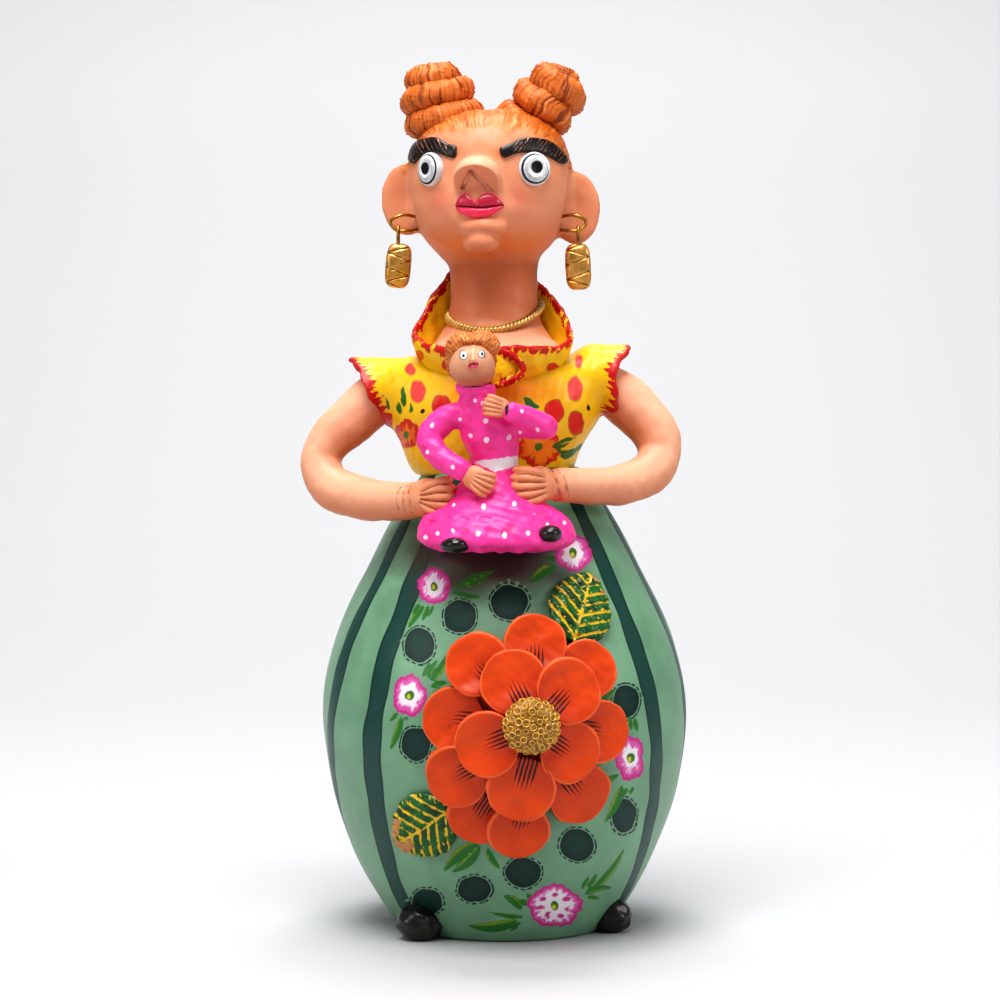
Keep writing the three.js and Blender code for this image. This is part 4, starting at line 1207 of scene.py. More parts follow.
head = Clay((-48, -40, 207), (38, 31, 304), 0.69)
head.work(stack([
    (z, HEAD_X + NECK_SHIFT * ease(250, 238, z), CHEST_SHIFT * ease(222, 210, z), r, r * HEAD_DEPTH)
    for z, r in HEAD_OUTLINE], 2.5))
head.work(ball(on_face(0, 24.5, 262), (11, 7, 8), z=FACE_TURN), soft=6)
for azimuth, z in ((-96, 268.2), (88, 264.6)):
    turn = azimuth + 90 if azimuth < 0 else azimuth - 90
    ear_at = around(azimuth, 31.4, z, HEAD_X)
    head.work(ball(ear_at, (9.4, 3, 13.4), z=turn), soft=3)
    out = np.sign(azimuth) * turning(z=turn)[:, 0]
    hollow_at = ear_at + out - 4.4 * turning(z=turn)[:, 1]
    head.work(ball(hollow_at, (7.4, 3.4, 11), z=turn), soft=2.5, cut=True)
nose_at = around(FACE_TURN, 29.4, 274, HEAD_X)
nose_way = around(FACE_TURN, math.sqrt(0.5), -math.sqrt(0.5))
nose_cut = nose_at + 3 * nose_way
head.work(sliced(ball(nose_at, (8.3, 8.8, 7.2), z=FACE_TURN), nose_cut - 0.8 * nose_way, nose_way), soft=1.6)
head.work(ball(seen(482, 241.5, -24.5), (7, 7.6, 5), z=FACE_TURN), soft=1.6)
head.work(ball(seen(483, 227.5, -26), (8.8, 6.6, 4.4), z=FACE_TURN), soft=1.2)
for column, row, halves in ((539, 350, (8, 6.5, 4)), (455, 350, (7, 6, 3.6))):
    head.work(ball(seen(column, row, -15), halves), soft=6)
CHIN_LINE = [(464, 240, -28.2), (470, 235, -31.4), (480, 232.4, -32.8), (491, 233, -31.8), (500, 237, -28.6)]
head.work(rope([(*seen(column, row, y), 0.8) for column, row, y in CHIN_LINE], 24), soft=1.2, cut=True)
head_mesh = head.skin("head")

# %% Head painting
BLUSH = [(439, 200, 12), (519, 197, 13)]
PAINTED_SOCKET_SHADES = [(427, 168, 19, 22), (538, 168, 23, 21), (459, 152, 9, 7), (498, 153, 8, 7)]  # orange shade painted in and above the eye sockets


def head_paints(points):
    """The hair, the blush and the painted shade of the head, and the way the hair is combed."""
    at = in_picture(points)
    azimuth = np.degrees(np.arctan2(points[:, 0] - HEAD_X, -points[:, 1] / HEAD_DEPTH)) - FACE_TURN
    azimuth = (azimuth + 180) % 360 - 180
    hairline = 291.6 - 13 * ease(36, 85, np.abs(azimuth)) - 24 * ease(95, 130, np.abs(azimuth))
    off = np.hypot(points[:, 0] - HEAD_X, points[:, 1])
    hair = points[:, 2] - hairline + 0.8 * wobble(points * [1, 1, 0.2], 3.2, 60)
    hair += 0.6 * wobble(points, 9, 61)
    hair = np.where((off > 33.5) | (np.abs(points[:, 2] - 300) > 45), -4, hair)
    front = points[:, 1] < 0

    # Soft spots of colour: the blush on the cheeks, and the orange shade painted in the eye sockets.
    def haze(places):
        return front * sum(
            np.exp(-((at[:, 0] - x) / w) ** 2 - ((at[:, 1] - y) / h) ** 2) for x, y, w, h in places)

    # Painted shade, darker towards the bottom of the head and under the chin, as light falls from above.
    down = np.interp(points[:, 2], [243, 252, 262, 274, 285], [1, 0.95, 0.75, 0.5, 0])
    painted_shade_under_chin = 0.8 * np.exp(-((points[:, 2] - 250) / 4.5) ** 2) * (off < 28)
    comb_way = 30 * np.arctan2(points[:, 0] - HEAD_X, points[:, 2] - 262) + 0.2 * wobble(points, 5, 63)
    return {
        "hair": hair, "blush": 0.35 * haze([(x, y, size, size) for x, y, size in BLUSH]),
        # Painted shade: below and on the ears, in the eye sockets, under the chin, and a darker top of the
        # head that takes back the strong top light.
        "tan": np.maximum(down, 0.9 * ease(29.5, 32.5, off)) * ease(214, 226, points[:, 2]),
        "orange": np.maximum(0.55 * haze(PAINTED_SOCKET_SHADES), painted_shade_under_chin),
        "jaw": np.interp(points[:, 2], [212, 219, 232, 243, 250], [0, 0.25, 0.5, 0.8, 0]),
        "crown": 0.75 * ease(272, 290, points[:, 2]),
        "comb": np.stack([comb_way, 0.05 * points[:, 1], np.zeros(len(points))], 1),
    }


# Flesh-coloured acrylic with shade painted in: darker below, round the eyes, under the chin, on the top of
# the head and in scored grooves, with painted highlights and shade on the combed hair: soft and nearly matt.
skin_finish = varnished("acrylic_skin", "#F1B495", [
    ("tan", "#D98A64", 0, 1.15, 0), ("orange", "#DE8146", 0, 1, 0), ("jaw", "#B35C2E", 0, 1.1, 0),
    ("blush", "#DD5F4C", 0, 1, 0), ("crown", "#D88A62", 0, 1.1, 0), ("hair", "#D08140", -1.4, 2.2, 0.3),
    ("hair", "#C76A24", 1.2, 6, 0.5), ("groove", "#8E4524", 0.1, 0.9, 0.1)], drift=0.05, drift_mm=20,
    roughness=0.5, varnish=0.1, lump=0.14, combed=("#E8A058", "#A9531A", 0.62, "hair", 0.12))
skin_finish.node_tree.nodes["Principled BSDF"].inputs["Specular IOR Level"].default_value = 0.35
head_points = read_points(head_mesh)
paints = head_paints(head_points)
tool_marks = 1 + 0.6 * wobble(paints["comb"], 2.4, 64)
press(head_mesh, 0.3 * ease(-0.2, 1.6, paints["hair"]) * tool_marks + 0.12 * wobble(head_points, 9, 62))
finish_piece("head", head_mesh, skin_finish, paints)

# %% Nose
# Apex and ends of the scored V, in the picture.
NOSE_LINES = [(470.5, 171.4), (462.7, 188.6), (491.8, 192.3)]
nose = Clay(nose_at - 10.6, nose_at + 10.6, 0.36)
nose.work(sliced(ball(nose_at, (8.7, 9.3, 7.6), z=FACE_TURN), nose_cut, nose_way, 0.4))
apex, *ends = [seen_on_plane(column, row, nose_cut, nose_way) for column, row in NOSE_LINES]
for end in ends:
    nose.work(rope([(*apex, 0.5), (*(apex + end) / 2, 0.95), (*end, 0.6)], 12), soft=0.4, cut=True)
nose_mesh = nose.skin("nose", rounds=1)
at = read_points(nose_mesh)
off_plane = (at - nose_cut) @ nose_way
lines = np.full(len(at), FAR)
for side in (end - apex for end in ends):
    along = np.clip((at - apex) @ side / (side @ side), 0, 1)
    lines = np.minimum(lines, np.linalg.norm(at - apex - along[:, None] * side, axis=1))
press(nose_mesh, 0.1 * wobble(at, 5, 65))
# Shade painted on the sliced underside and in the scored V, a little orange shade low on the ball, and a
# light tan all over.
finish_piece("nose", nose_mesh, skin_finish, {
    "tan": np.maximum(0.25, 0.8 * ease(-0.6, -0.1, off_plane)), "groove": 1.35 - 1.1 * lines,
    "orange": 0.5 * ease(8, -3, at[:, 2] - 270) * ease(-0.4, -1.2, off_plane)})

# %% [markdown]
# ## Face
#
# Lips, eyes and brows are small pieces laid on afterwards. The lips are two strips, one above the
# other, the eyes are turned buttons with painted rings, and the brows are scratched to bare clay.

# %% Lips
UPPER_LIP = [
    (455.4, 202.8, 205.6), (458.2, 196.8, 206), (463.6, 192.7, 206.4), (467.3, 193.2, 206.8),
    (471.8, 198.4, 207.2), (474.6, 200.4, 207.4), (478.2, 197.7, 207.6), (481.8, 193.8, 207.7),
    (487.3, 192.1, 207.2), (492.7, 192.9, 206.4), (496.5, 195.4, 205.8), (501, 199.6, 205.2),
    (504.2, 203.8, 204.9),
]
LOWER_LIP = [
    (455.6, 205.6, 207.2), (457.4, 206.2, 210.2), (461.8, 206.9, 214.1), (469, 207.6, 217.2),
    (477.3, 208.2, 218), (486.4, 208, 217), (493, 206.8, 214.6), (498.6, 205.8, 210.8), (504, 205, 206.2),
]  # column, top, bottom
LIP_ROWS, LIP_SIDES = 110, 44
# Crimson acrylic under thick varnish, which gives the lips a wet shine.
lip_finish = varnished("acrylic_crimson_lips", "#EA3A60", [
    ("upper", "#C22A48", -0.5, 0.5, 0), ("lip_rim", "#EE8C9C", 0.25, 0.7, 0.05),
    ("mouth", "#98203F", 0, 0.6, 0.05)], drift=0.08, drift_mm=4, roughness=0.3, varnish=0.4, lump=0.1)


def front_of(clay, x, z):
    """How far forward clay reaches at each x and z, in mm."""
    across, up = (x - clay.low[0]) / clay.step, (z - clay.low[2]) / clay.step
    i, k = across.astype(int), up.astype(int)
    f, g = (across - i)[:, None], (up - k)[:, None]
    field = clay.field
    lines = ((1 - f) * (1 - g) * field[i, :, k] + f * (1 - g) * field[i + 1, :, k] + (1 - f) * g
        * field[i, :, k + 1] + f * g * field[i + 1, :, k + 1])
    first = np.maximum((lines < 0).argmax(1), 1)
    pick = np.arange(len(x))
    before, after = lines[pick, first - 1], lines[pick, first]
    return clay.axes[1][first - 1] + clay.step * before / (before - after)


for name, outline, bulge, is_upper in (("upper_lip", UPPER_LIP, 1.9, 1), ("lower_lip", LOWER_LIP, 2.3, 0)):
    rows = spline(outline, LIP_ROWS)
    a = full_turn(LIP_SIDES)
    half = (rows[:, 2] - rows[:, 1]) / 2
    row = (rows[:, 1] + half)[:, None] - half[:, None] * np.sign(np.cos(a)) * np.abs(np.cos(a)) ** 0.8
    full = np.minimum(1, half / 5)[:, None]
    out = np.where(np.sin(a) > 0, bulge * full**0.7 * np.abs(np.sin(a)) ** 0.62, -1.2 * np.abs(np.sin(a)))
    flat = np.stack([np.broadcast_to(rows[:, :1], row.shape).ravel(), row.ravel()], 1)
    points = np.array([seen(column, lip_row, -29.5) for column, lip_row in flat])
    points[:, 1] = front_of(head, points[:, 0], points[:, 2]) - out.ravel()
    edge = (row - rows[:, 1:2]) if is_upper else (rows[:, 2:3] - row)
    mouth = (rows[:, 2:3] - row) if is_upper else (row - rows[:, 1:2])
    points, faces = skin(points.reshape(LIP_ROWS, LIP_SIDES, 3))
    finish_piece(name, plain_mesh(name, points, faces), lip_finish, {
        "upper": np.full(len(points), 4 * is_upper - 2),
        "mouth": np.append(0.45 - mouth.ravel() * MM_PER_PX, [0, 0]),
        "lip_rim": np.append((0.9 - edge.ravel() * MM_PER_PX) * is_upper - 1 + is_upper, [0, 0])})

# %% Eyes
EYE_OUTLINE = [
    (0.02, 2), (1.2, 2.05), (2.3, 2.1), (2.9, 2.35), (3.5, 2.4), (4.1, 2.25), (4.5, 1.9), (4.9, 1.7),
    (5.3, 1.6), (5.7, 1.5), (6, 1.1), (6.2, 0.4), (6.3, -0.6), (6.3, -2.4),
]  # radius, and height
EYE_RINGS, EYE_SIDES = 56, 96
EYES = [
    {"name": "right_eye", "seen": (426.6, 168.2), "azimuth": -47, "turn": -51, "shift": (-0.5, 0.25),
     "thick_at": -40},
    {"name": "left_eye", "seen": (536.8, 168.8), "azimuth": 32.4, "turn": 22, "shift": (0.3, 0.6),
     "thick_at": 215},
]
# White enamel with painted rings: smooth, with hard glints.
eye_finish = varnished("enamel_white_eye", "#DDDFE1", [
    ("shade", "#8F9298", -0.2, 0.7, 0.05), ("eye_line", "#1B1A26", -0.1, 0.14, 0.05),
    ("pupil", "#0F1012", -0.1, 0.12, 0.05)], drift=0.03, roughness=0.25, varnish=0.5, lump=0.1, lump_mm=3)
for eye in EYES:
    flat, faces = skin(facing_front(*spline(EYE_OUTLINE, EYE_RINGS).T, EYE_SIDES))
    radius = np.hypot(flat[:, 0], flat[:, 2])
    near = np.hypot(flat[:, 0] - eye["shift"][0], flat[:, 2] - eye["shift"][1])
    clock = np.degrees(np.arctan2(flat[:, 2], flat[:, 0]))
    heavy = 0.5 + 0.5 * np.cos(np.radians(clock - eye["thick_at"]))
    z = seen(*eye["seen"], -24)[2]
    on_skin = around(eye["azimuth"], head_radius(z) - 0.2, z, HEAD_X, HEAD_DEPTH)
    points = flat @ turning(z=eye["turn"]).T + on_skin
    shade = 0.45 * heavy - np.abs(radius - 3.75) * 0.7 + 0.15 * wobble(flat, 2, 66)
    finish_piece(eye["name"], plain_mesh(eye["name"], points, faces), eye_finish, {
        "pupil": 2.25 - near, "shade": shade,
        "eye_line": 0.12 + 0.34 * heavy - np.abs(radius - 5.2) - 0.1 * ease(0.25, 0, heavy)})

# %% Brows
# Column, upper and lower row of each section, in the picture.
BROWS = {
    "right_brow": [(408.4, 151, 161), (411.5, 145.4, 163.6), (415.5, 141, 160), (420, 139, 155.6),
        (425, 137.8, 152.6), (431, 136.8, 151.6), (436, 137.6, 152.4), (441, 140.5, 154.6),
        (447, 143.8, 156.8), (452, 144.6, 157.6), (455.4, 146.4, 155)],
    "left_brow": [(499.8, 148.4, 151.6), (502, 146.5, 156), (506, 145, 157.6), (512, 142.5, 155.2),
        (518, 139.5, 153.2), (525, 137.6, 152.3), (532, 137.2, 152.3), (540, 138, 152.8),
        (548, 139.6, 155.6), (555, 143.3, 158.9), (561, 148.8, 162.8), (565, 153.5, 164),
        (568.2, 158, 162.6)],
}
BROW_ROWS, BROW_SIDES = 230, 44
# Black acrylic scratched through to the clay while damp: pale lines in a dull strip.
brow_finish = varnished("acrylic_black_brow", "#191210", [("scratch", "#C58263", -0.06, 0.16, 0.08)],
    drift=0.3, roughness=0.35, lump=0.4, lump_mm=2)


def on_head(column, row):
    """Azimuth and height of the place on the turned head that the picture shows."""
    y = -20
    for _ in range(8):
        x, _, z = seen(column, row, y)
        radius = head_radius(z) + 1
        y = -radius * HEAD_DEPTH * math.sqrt(1 - min(0.999, abs(x - HEAD_X) / radius) ** 2)
    return math.degrees(math.asin(np.clip((x - HEAD_X) / radius, -0.999, 0.999))), z


for name, outline in BROWS.items():
    right = name == "right_brow"
    edges = np.array([(*on_head(column, top), *on_head(column, bottom)) for column, top, bottom in outline])
    ring_edges = spline(edges, BROW_ROWS)
    a = full_turn(BROW_SIDES)
    share = 0.5 + 0.5 * np.sign(np.cos(a)) * np.abs(np.cos(a)) ** 0.7  # from the lower edge to the upper
    azimuth = ring_edges[:, 2:3] + (ring_edges[:, 0:1] - ring_edges[:, 2:3]) * share
    z = ring_edges[:, 3:4] + (ring_edges[:, 1:2] - ring_edges[:, 3:4]) * share
    full = np.minimum(1, np.abs(ring_edges[:, 1:2] - ring_edges[:, 3:4]) / 4) ** 0.5
    out = np.where(np.sin(a) > 0, 1.5 * full * np.abs(np.sin(a)) ** 0.55, -0.7 * np.abs(np.sin(a)))
    at = in_picture(around(azimuth, head_radius(z) + 1, z, HEAD_X, HEAD_DEPTH).reshape(-1, 3))
    slant, gap = (-0.6, 4.6) if right else (0.68, 4.2)
    lane = (at[:, 0] + slant * at[:, 1] + 0.35 * np.sin(at[:, 1] / 2.3)) / gap
    width = 0.11 + 0.05 * np.sin(5.1 * np.round(lane))
    scratch = (width * 4.4 - np.abs(lane - np.round(lane)) * 4.4) * MM_PER_PX
    inner = ease(454, 446, at[:, 0]) if right else ease(507, 513, at[:, 0])
    edge_gap = (np.abs(share - 0.52)[None] * np.ones_like(z)).ravel()
    skipped = np.sin(2.3 * np.round(lane)) * 0.12 + 0.36
    scratch = np.where((np.sin(a)[None] * np.ones_like(z)).ravel() > 0.15, scratch, -1)
    scratch = scratch - 0.8 * (1 - inner) - 0.8 * ease(skipped, skipped + 0.06, edge_gap)
    out = out - 0.4 * ease(-0.1, 0.2, scratch.reshape(out.shape)) * (out > 0)
    points, faces = skin(around(azimuth, head_radius(z) + out, z, HEAD_X, HEAD_DEPTH))
    finish_piece(name, plain_mesh(name, points, faces), brow_finish,
        {"scratch": np.append(scratch, [-1, -1])})

# %% [markdown]
# ## Hair buns
#
# Each bun is a rope of clay wound up a leaning cone, then gouged all over with a pointed stick while
# it was soft. The rope is drawn as rings along its path, and the gouges are pressed into the rings.

# %% Buns
# Orange acrylic over combed clay, with painted shade in the furrows and gouges and painted highlights on the
# ridges: matt and streaky.
hair_finish = varnished("acrylic_orange_hair", "#D5752C", [("deep", "#A9501A", 0, 1.3, 0.4)], drift=0.14,
    drift_mm=6, roughness=0.58, varnish=0.05, lump=0.6, lump_mm=1.2, grain=0.4,
    combed=("#E9995A", "#8A3C0E", 0.75, None, 0.35))
# Turn number, column and row of the middle in the picture, radius of the turn and of the rope.
BUNS = {
    "right_bun": {"slope": 2, "winding": 1, "rows": [
        (-0.45, 441, 130, 9.2, 3.6), (0, 442.8, 119.4, 10, 5.1), (0.5, 441, 108, 9.6, 5.1),
        (1, 437, 95.6, 8.4, 5.6), (1.5, 438.5, 86, 8.2, 5.2), (1.95, 437, 79.5, 6.4, 4.9),
        (2.3, 437, 77.5, 3.4, 4.6), (2.65, 439, 78, 0.8, 3.9), (2.8, 438.5, 78, 0.3, 1.6)]},
    "left_bun": {"slope": -23, "winding": -1, "rows": [
        (-0.45, 521, 134, 8.4, 3.8), (0, 524, 127, 8.4, 4.7), (0.5, 533, 117, 8.2, 5.2),
        (1, 542, 106.5, 7.4, 5.7), (1.5, 549, 97.5, 7.6, 5.4), (2, 555, 87.4, 7.2, 5.4),
        (2.4, 559.5, 81.5, 3.4, 5.6), (2.75, 561, 79.5, 0.9, 5.2), (2.95, 561.5, 78.5, 0.2, 3)]},
}
# The core that fills a bun: number of the rope's ring, radius, and lift, in mm.
CORE_RINGS = [(30, 9.5, 0), (110, 8.5, 0), (190, 6, 0), (272, 4.6, 0.6), (290, 4.6, 2.4), (299, 3.6, 4.2)]


def bun(name, slope, winding, rows, seed):
    """A rope wound up a leaning cone, with gouges, and the core inside it."""
    rings_count, sides = 300, 64
    rows = spline(rows, rings_count)
    middles = np.array([seen(column, row, 2) for column, row in rows[:, 1:3]])
    across = np.array([math.cos(math.radians(slope)), 0, math.sin(math.radians(slope))])
    angle = -math.pi / 2 + winding * 2 * math.pi * rows[:, 0]
    spoke = across * np.cos(angle)[:, None] + np.array([0, 1, 0]) * np.sin(angle)[:, None]
    path = middles + spoke * rows[:, 3:4]
    along = np.gradient(path, axis=0)
    length = np.append(0, np.cumsum(np.linalg.norm(np.diff(path, axis=0), axis=1)))
    along /= np.linalg.norm(along, axis=1)[:, None]
    side_way = spoke - along * np.sum(spoke * along, 1)[:, None]
    side_way /= np.linalg.norm(side_way, axis=1)[:, None]
    up_way = np.cross(along, side_way)
    turn = full_turn(sides)
    s, a = np.meshgrid(length, turn, indexing="ij")
    tube = np.stack([s.ravel(), 5 * np.cos(a.ravel()), 5 * np.sin(a.ravel())], 1)
    broad, crumbs = wobble(tube, 7, seed), wobble(tube, 1.5, seed + 1)
    gouge = wobble(tube * [1, 0.2, 0.2], 1.6, seed + 2)
    depth = rows[:, 4].repeat(sides) + 0.35 * broad + 0.5 * ease(0.7, 1.4, crumbs)
    depth = (depth - 0.3 * ease(0.2, 1.2, gouge)).reshape(s.shape)[..., None]
    spokes = side_way[:, None] * np.cos(a)[..., None] + up_way[:, None] * np.sin(a)[..., None]
    points, faces = skin(path[:, None] + depth * spokes)
    comb = np.stack([s.ravel() + 0.4 * broad, 0.25 * np.cos(a.ravel()), 0.25 * np.sin(a.ravel())], 1)
    comb = np.vstack([comb, comb[0], comb[-1]])
    # Shade painted into the gouges, with random darker patches.
    deep = np.append(0.5 * ease(0.2, 1.2, gouge) + 0.3 * broad - 0.2, [0, 0])
    finish_piece(name, plain_mesh(name, points, faces), hair_finish, {"deep": deep, "comb": comb})
    upwards = np.cross(across, [0, 1, 0])
    core = np.array([
        middles[k] + lift * upwards + size * (across * math.cos(b) + np.array([0, 1, 0]) * math.sin(b))
        for k, size, lift in CORE_RINGS for b in turn])
    core_points, core_faces = skin(core.reshape(len(CORE_RINGS), sides, 3))
    # The core is painted all dark, as the shade inside the coil.
    finish_piece(name + "_core", plain_mesh(name + "_core", core_points, core_faces), hair_finish,
        {"deep": np.ones(len(core_points)), "comb": core_points})


for seed, (name, sizes) in enumerate(BUNS.items()):
    bun(name, **sizes, seed=70 + 5 * seed)

# %% [markdown]
# ## Arms and hands
#
# The arms are long ropes of clay that leave the sleeves, loop out and come forward to hold the child.
# A hand is a flat pad with five fingers pressed on, and the gaps and wrist creases scored with a needle.

# %% Arms
RIGHT_ARM = [
    (-38, 0, 198, 8.4), (-49, -0.5, 192.5, 9.4), (-57.4, -1, 185.4, 9.1), (-65.4, -2, 177.4, 8.2),
    (-67.6, -4, 169.6, 7.6), (-63.6, -9, 162, 7.9), (-52, -18, 158, 7.9), (-38.6, -30, 157.4, 7),
    (-28.6, -42, 158.8, 5.9),
]
LEFT_ARM = [
    (32, 0, 200, 8.4), (41.5, -0.5, 196, 9.2), (48, -1, 190.6, 9.4), (55, -2, 182.6, 9),
    (57.4, -4, 174.6, 8.2), (53.6, -9, 167.4, 8), (45, -17, 163.4, 7.4), (33.6, -29, 162.8, 6.9),
    (19.6, -43, 163.8, 6),
]
forearms = {}  # what the hands begin with, behind the wrist crease


def painted_underside_shade(mesh):
    """How much shade is painted, in the darker tan, on the lower side of a limb."""
    return np.clip(0.3 - 1.2 * read_points(mesh, "normal")[:, 2], 0, 1.15)


for name, stops, share in (("right_arm", RIGHT_ARM, 0.25), ("left_arm", LEFT_ARM, 0.85)):
    stops = np.array(stops, float)
    wrist = (1 - share) * stops[-2, :3] + share * stops[-1, :3]
    way = stops[-1, :3] - stops[-2, :3]
    way /= np.linalg.norm(way)
    low, high = stops[:, :3].min(0) - 12, stops[:, :3].max(0) + 12
    arm = Clay(low, high, 0.8)
    arm.work(sliced(rope(stops, 90), wrist, way))
    arm_mesh = arm.skin(name)
    at = read_points(arm_mesh)
    near_wrist = ease(9, 3, np.linalg.norm(at - wrist, axis=1) - 6)
    press(arm_mesh, (0.25 * wobble(at, 18, 80) + 0.08 * wobble(at, 5, 81)) * (1 - near_wrist))
    finish_piece(name, arm_mesh, skin_finish, {"tan": painted_underside_shade(arm_mesh)})
    thicker = stops + [0, 0, 0, 0.15]
    forearms[name] = sliced(rope(thicker, 90), wrist - 0.8 * way, -way, 0.4)

# %% Hands
WRIST_RADIUS = 6.9
FINGERS = [(-5.9, 1.6), (-3, 1.8), (0, 1.9), (3, 1.8), (5.8, 1.5)]  # height across the hand, and radius


def hand(name, middle, size, raised_deg, inward_deg, mirrored, step, forearm=None, wrist_lines=(), fan=0.5,
        tan=0.45):
    """A hand whose fingers point right in the picture, or left if mirrored, raised by an angle."""
    flip = -1 if mirrored else 1
    turns = {"y": -flip * raised_deg, "z": -flip * inward_deg}
    turn = turning(**turns)

    def put(stops):
        return [(*(turn @ (np.array([flip * x, y, z]) * size) + middle), r * size) for x, y, z, r in stops]

    clay = Clay(np.array(middle) - 14 * size - 4, np.array(middle) + 14 * size + 4, step)
    if forearm is not None:
        clay.work(forearm)
    clay.work(ball(put([(-1.6, 0, 0, 1)])[0][:3], np.array([7.4, 4.2, 6.6]) * size, **turns), soft=2 * size)
    for z, r in FINGERS:
        short = 0.14 * abs(z) ** 1.3
        finger = [
            (-3.5, -1.9, (fan - 0.06) * z, 0.8 * r), (0.5, -3.2, (0.45 + 0.55 * fan) * z, r),
            (4.4 - short / 2, -3.1, (0.8 + 0.2 * fan) * z, r), (7.6 - short, -1.4, z, 0.95 * r),
            (8.4 - short, 1, z, 0.8 * r),
        ]
        clay.work(rope(put(finger), 24), soft=0.35 * size)
    for low, high in zip(FINGERS[:-1], FINGERS[1:]):
        z = (low[0] + high[0]) / 2
        gap = [
            (-2.2, -4.1, fan * z, 0.35), (1.2, -4.9, (0.45 + 0.55 * fan) * z, 0.5), (5, -4.6, 0.96 * z, 0.5),
            (8.4, -2.2, z, 0.35),
        ]
        clay.work(rope(put(gap), 24), soft=0.3 * size, cut=True)
    for line in wrist_lines:
        on_wrist = [(x, -math.sqrt(WRIST_RADIUS**2 - z**2), z, 0.45) for x, z in line]
        clay.work(rope(put(on_wrist), 16), soft=0.3 * size, cut=True)
    mesh = clay.skin(name, rounds=1)
    at = read_points(mesh)
    local = (at - middle) @ turn / size * [flip, 1, 1]
    gaps = [(low[0] + high[0]) / 2 for low, high in zip(FINGERS[:-1], FINGERS[1:])]
    spread = np.interp(local[:, 0], [-2.2, 1.2, 5], [fan, 0.45 + 0.55 * fan, 1])
    off = np.min([np.abs(local[:, 2] - spread * gap) for gap in gaps], 0)
    taper = ease(-3.2, -0.5, local[:, 0]) * ease(9.5, 7, local[:, 0])
    on_fingers = (local[:, 0] > -3.2) & (local[:, 1] < -1)
    groove = np.where(on_fingers, (0.95 - 1.9 * off / size**0.5) * taper, -FAR)
    for line in wrist_lines:
        crease = spline(line, 20)
        near = np.min(np.hypot(local[:, :1] - crease[:, 0], local[:, 2:] - crease[:, 1]), 1)
        groove = np.maximum(groove,
            np.where(local[:, 1] < 0, 0.5 - 0.6 * near + 0.2 * wobble(at, 2, 83), -FAR))
    reddened = ease(-13, -5, local[:, 0]) if wrist_lines else np.ones(len(at))
    # Shade painted in the finger gaps, the wrist creases and below; the hand is also a deeper, more orange
    # tone towards the fingers.
    finish_piece(name, mesh, skin_finish, {
        "groove": groove, "orange": 0.25 * reddened,
        "tan": np.maximum(painted_underside_shade(mesh), (tan + 0.25 * wobble(at, 6, 82)) * reddened)})


hand("right_hand", (-25.6, -45.4, 159.6), 1.02, 2, 32, False, 0.44, forearms["right_arm"], [
    [(-7, 6.4), (-7.6, 3), (-6.8, -1), (-7.4, -6)], [(-9.4, 6), (-10.4, 2), (-9.8, -2), (-10.6, -5.6)],
    [(-12.6, 5), (-13.6, 0), (-13.2, -4.6)]], 0.42)
hand("left_hand", (10.8, -49, 164), 1, -3, 28, True, 0.44, forearms["left_arm"],
    [[(-5.4, 6.4), (-6.6, 3), (-7, -1), (-8.8, -5.6)], [(-8, 6), (-9.4, 2), (-10, -1.5), (-11.6, -5)]], 0.62)

# %% [markdown]
# ## Gold
#
# The necklace is a chain of small slanted beads pressed onto the neck, all gilded. The earrings hang
# free: a bent wire hoop in the ear, an oval link, and a clay bead cut with a zigzag.

# %% Necklace
NECKLACE_X, BEAD_COUNT = -3.6, 74
BEAD_HALVES = (1.05, 1.65, 1.9)  # along the necklace, out from the neck, and up
rise = math.pi * np.linspace(0.03, 0.97, 11)
bead_rings = facing_front(np.sin(rise), np.cos(rise), 14)[..., [1, 0, 2]] * BEAD_HALVES
bead_points, bead_faces = skin(bead_rings)
bead_mesh = plain_mesh("bead", bead_points, bead_faces)
# The ends of each bead are painted dark, as shade in the gaps between beads.
keep_values(bead_mesh, "gap", np.abs(bead_points[:, 0]) - 0.72)
bead_marks = []
for angle in full_turn(BEAD_COUNT):
    azimuth, to_front = math.degrees(angle), (1 + math.cos(angle)) / 2
    place = around(azimuth, 17.2, 229 - 9.8 * to_front**2 + 2.2 * math.sin(angle), NECKLACE_X)
    bead_marks.append((place + [0, -1.6 * to_front, 0], turning(z=azimuth) @ turning(y=34), (1, 1, 1)))
# Gold paint on clay beads, with shade painted dark in the gaps between them: a row of small glints.
necklace_gold = varnished("gilt_necklace", "#D8AE66", [("gap", "#3E2410", -0.1, 0.12, 0)], drift=0.15,
    drift_mm=3, roughness=0.28, varnish=0.3, lump=0.3, lump_mm=1.5)
finish_piece("necklace", copied("necklace", bead_mesh, bead_marks, necklace_gold), necklace_gold)

# %% Earrings
# Drawn brass wire, a little tarnished: a metal with dull and bright stretches.
brass_wire = bpy.data.materials.new("brass_wire")
brass_wire.use_nodes = True
wire_nodes = brass_wire.node_tree
wire_shader = wire_nodes.nodes["Principled BSDF"]
wire_place = add(wire_nodes, "ShaderNodeTexCoord").outputs["Object"]
wire_noise = add(wire_nodes, "ShaderNodeTexNoise",
    {"Vector": wire_place, "Scale": 1 / (1.5 * MM), "Detail": 4})
wire_tone = add(wire_nodes, "ShaderNodeMix", {0: wire_noise, 6: colour("#8E5F22"), 7: colour("#D9B062")},
    data_type="RGBA")
wire_gloss = add(wire_nodes, "ShaderNodeMapRange",
    {"Value": wire_noise, "From Min": 0.3, "From Max": 0.7, "To Min": 0.22, "To Max": 0.4})
wire_nodes.links.new(wire_tone.outputs[2], wire_shader.inputs["Base Color"])
wire_nodes.links.new(wire_gloss.outputs["Result"], wire_shader.inputs["Roughness"])
wire_shader.inputs["Metallic"].default_value = 1

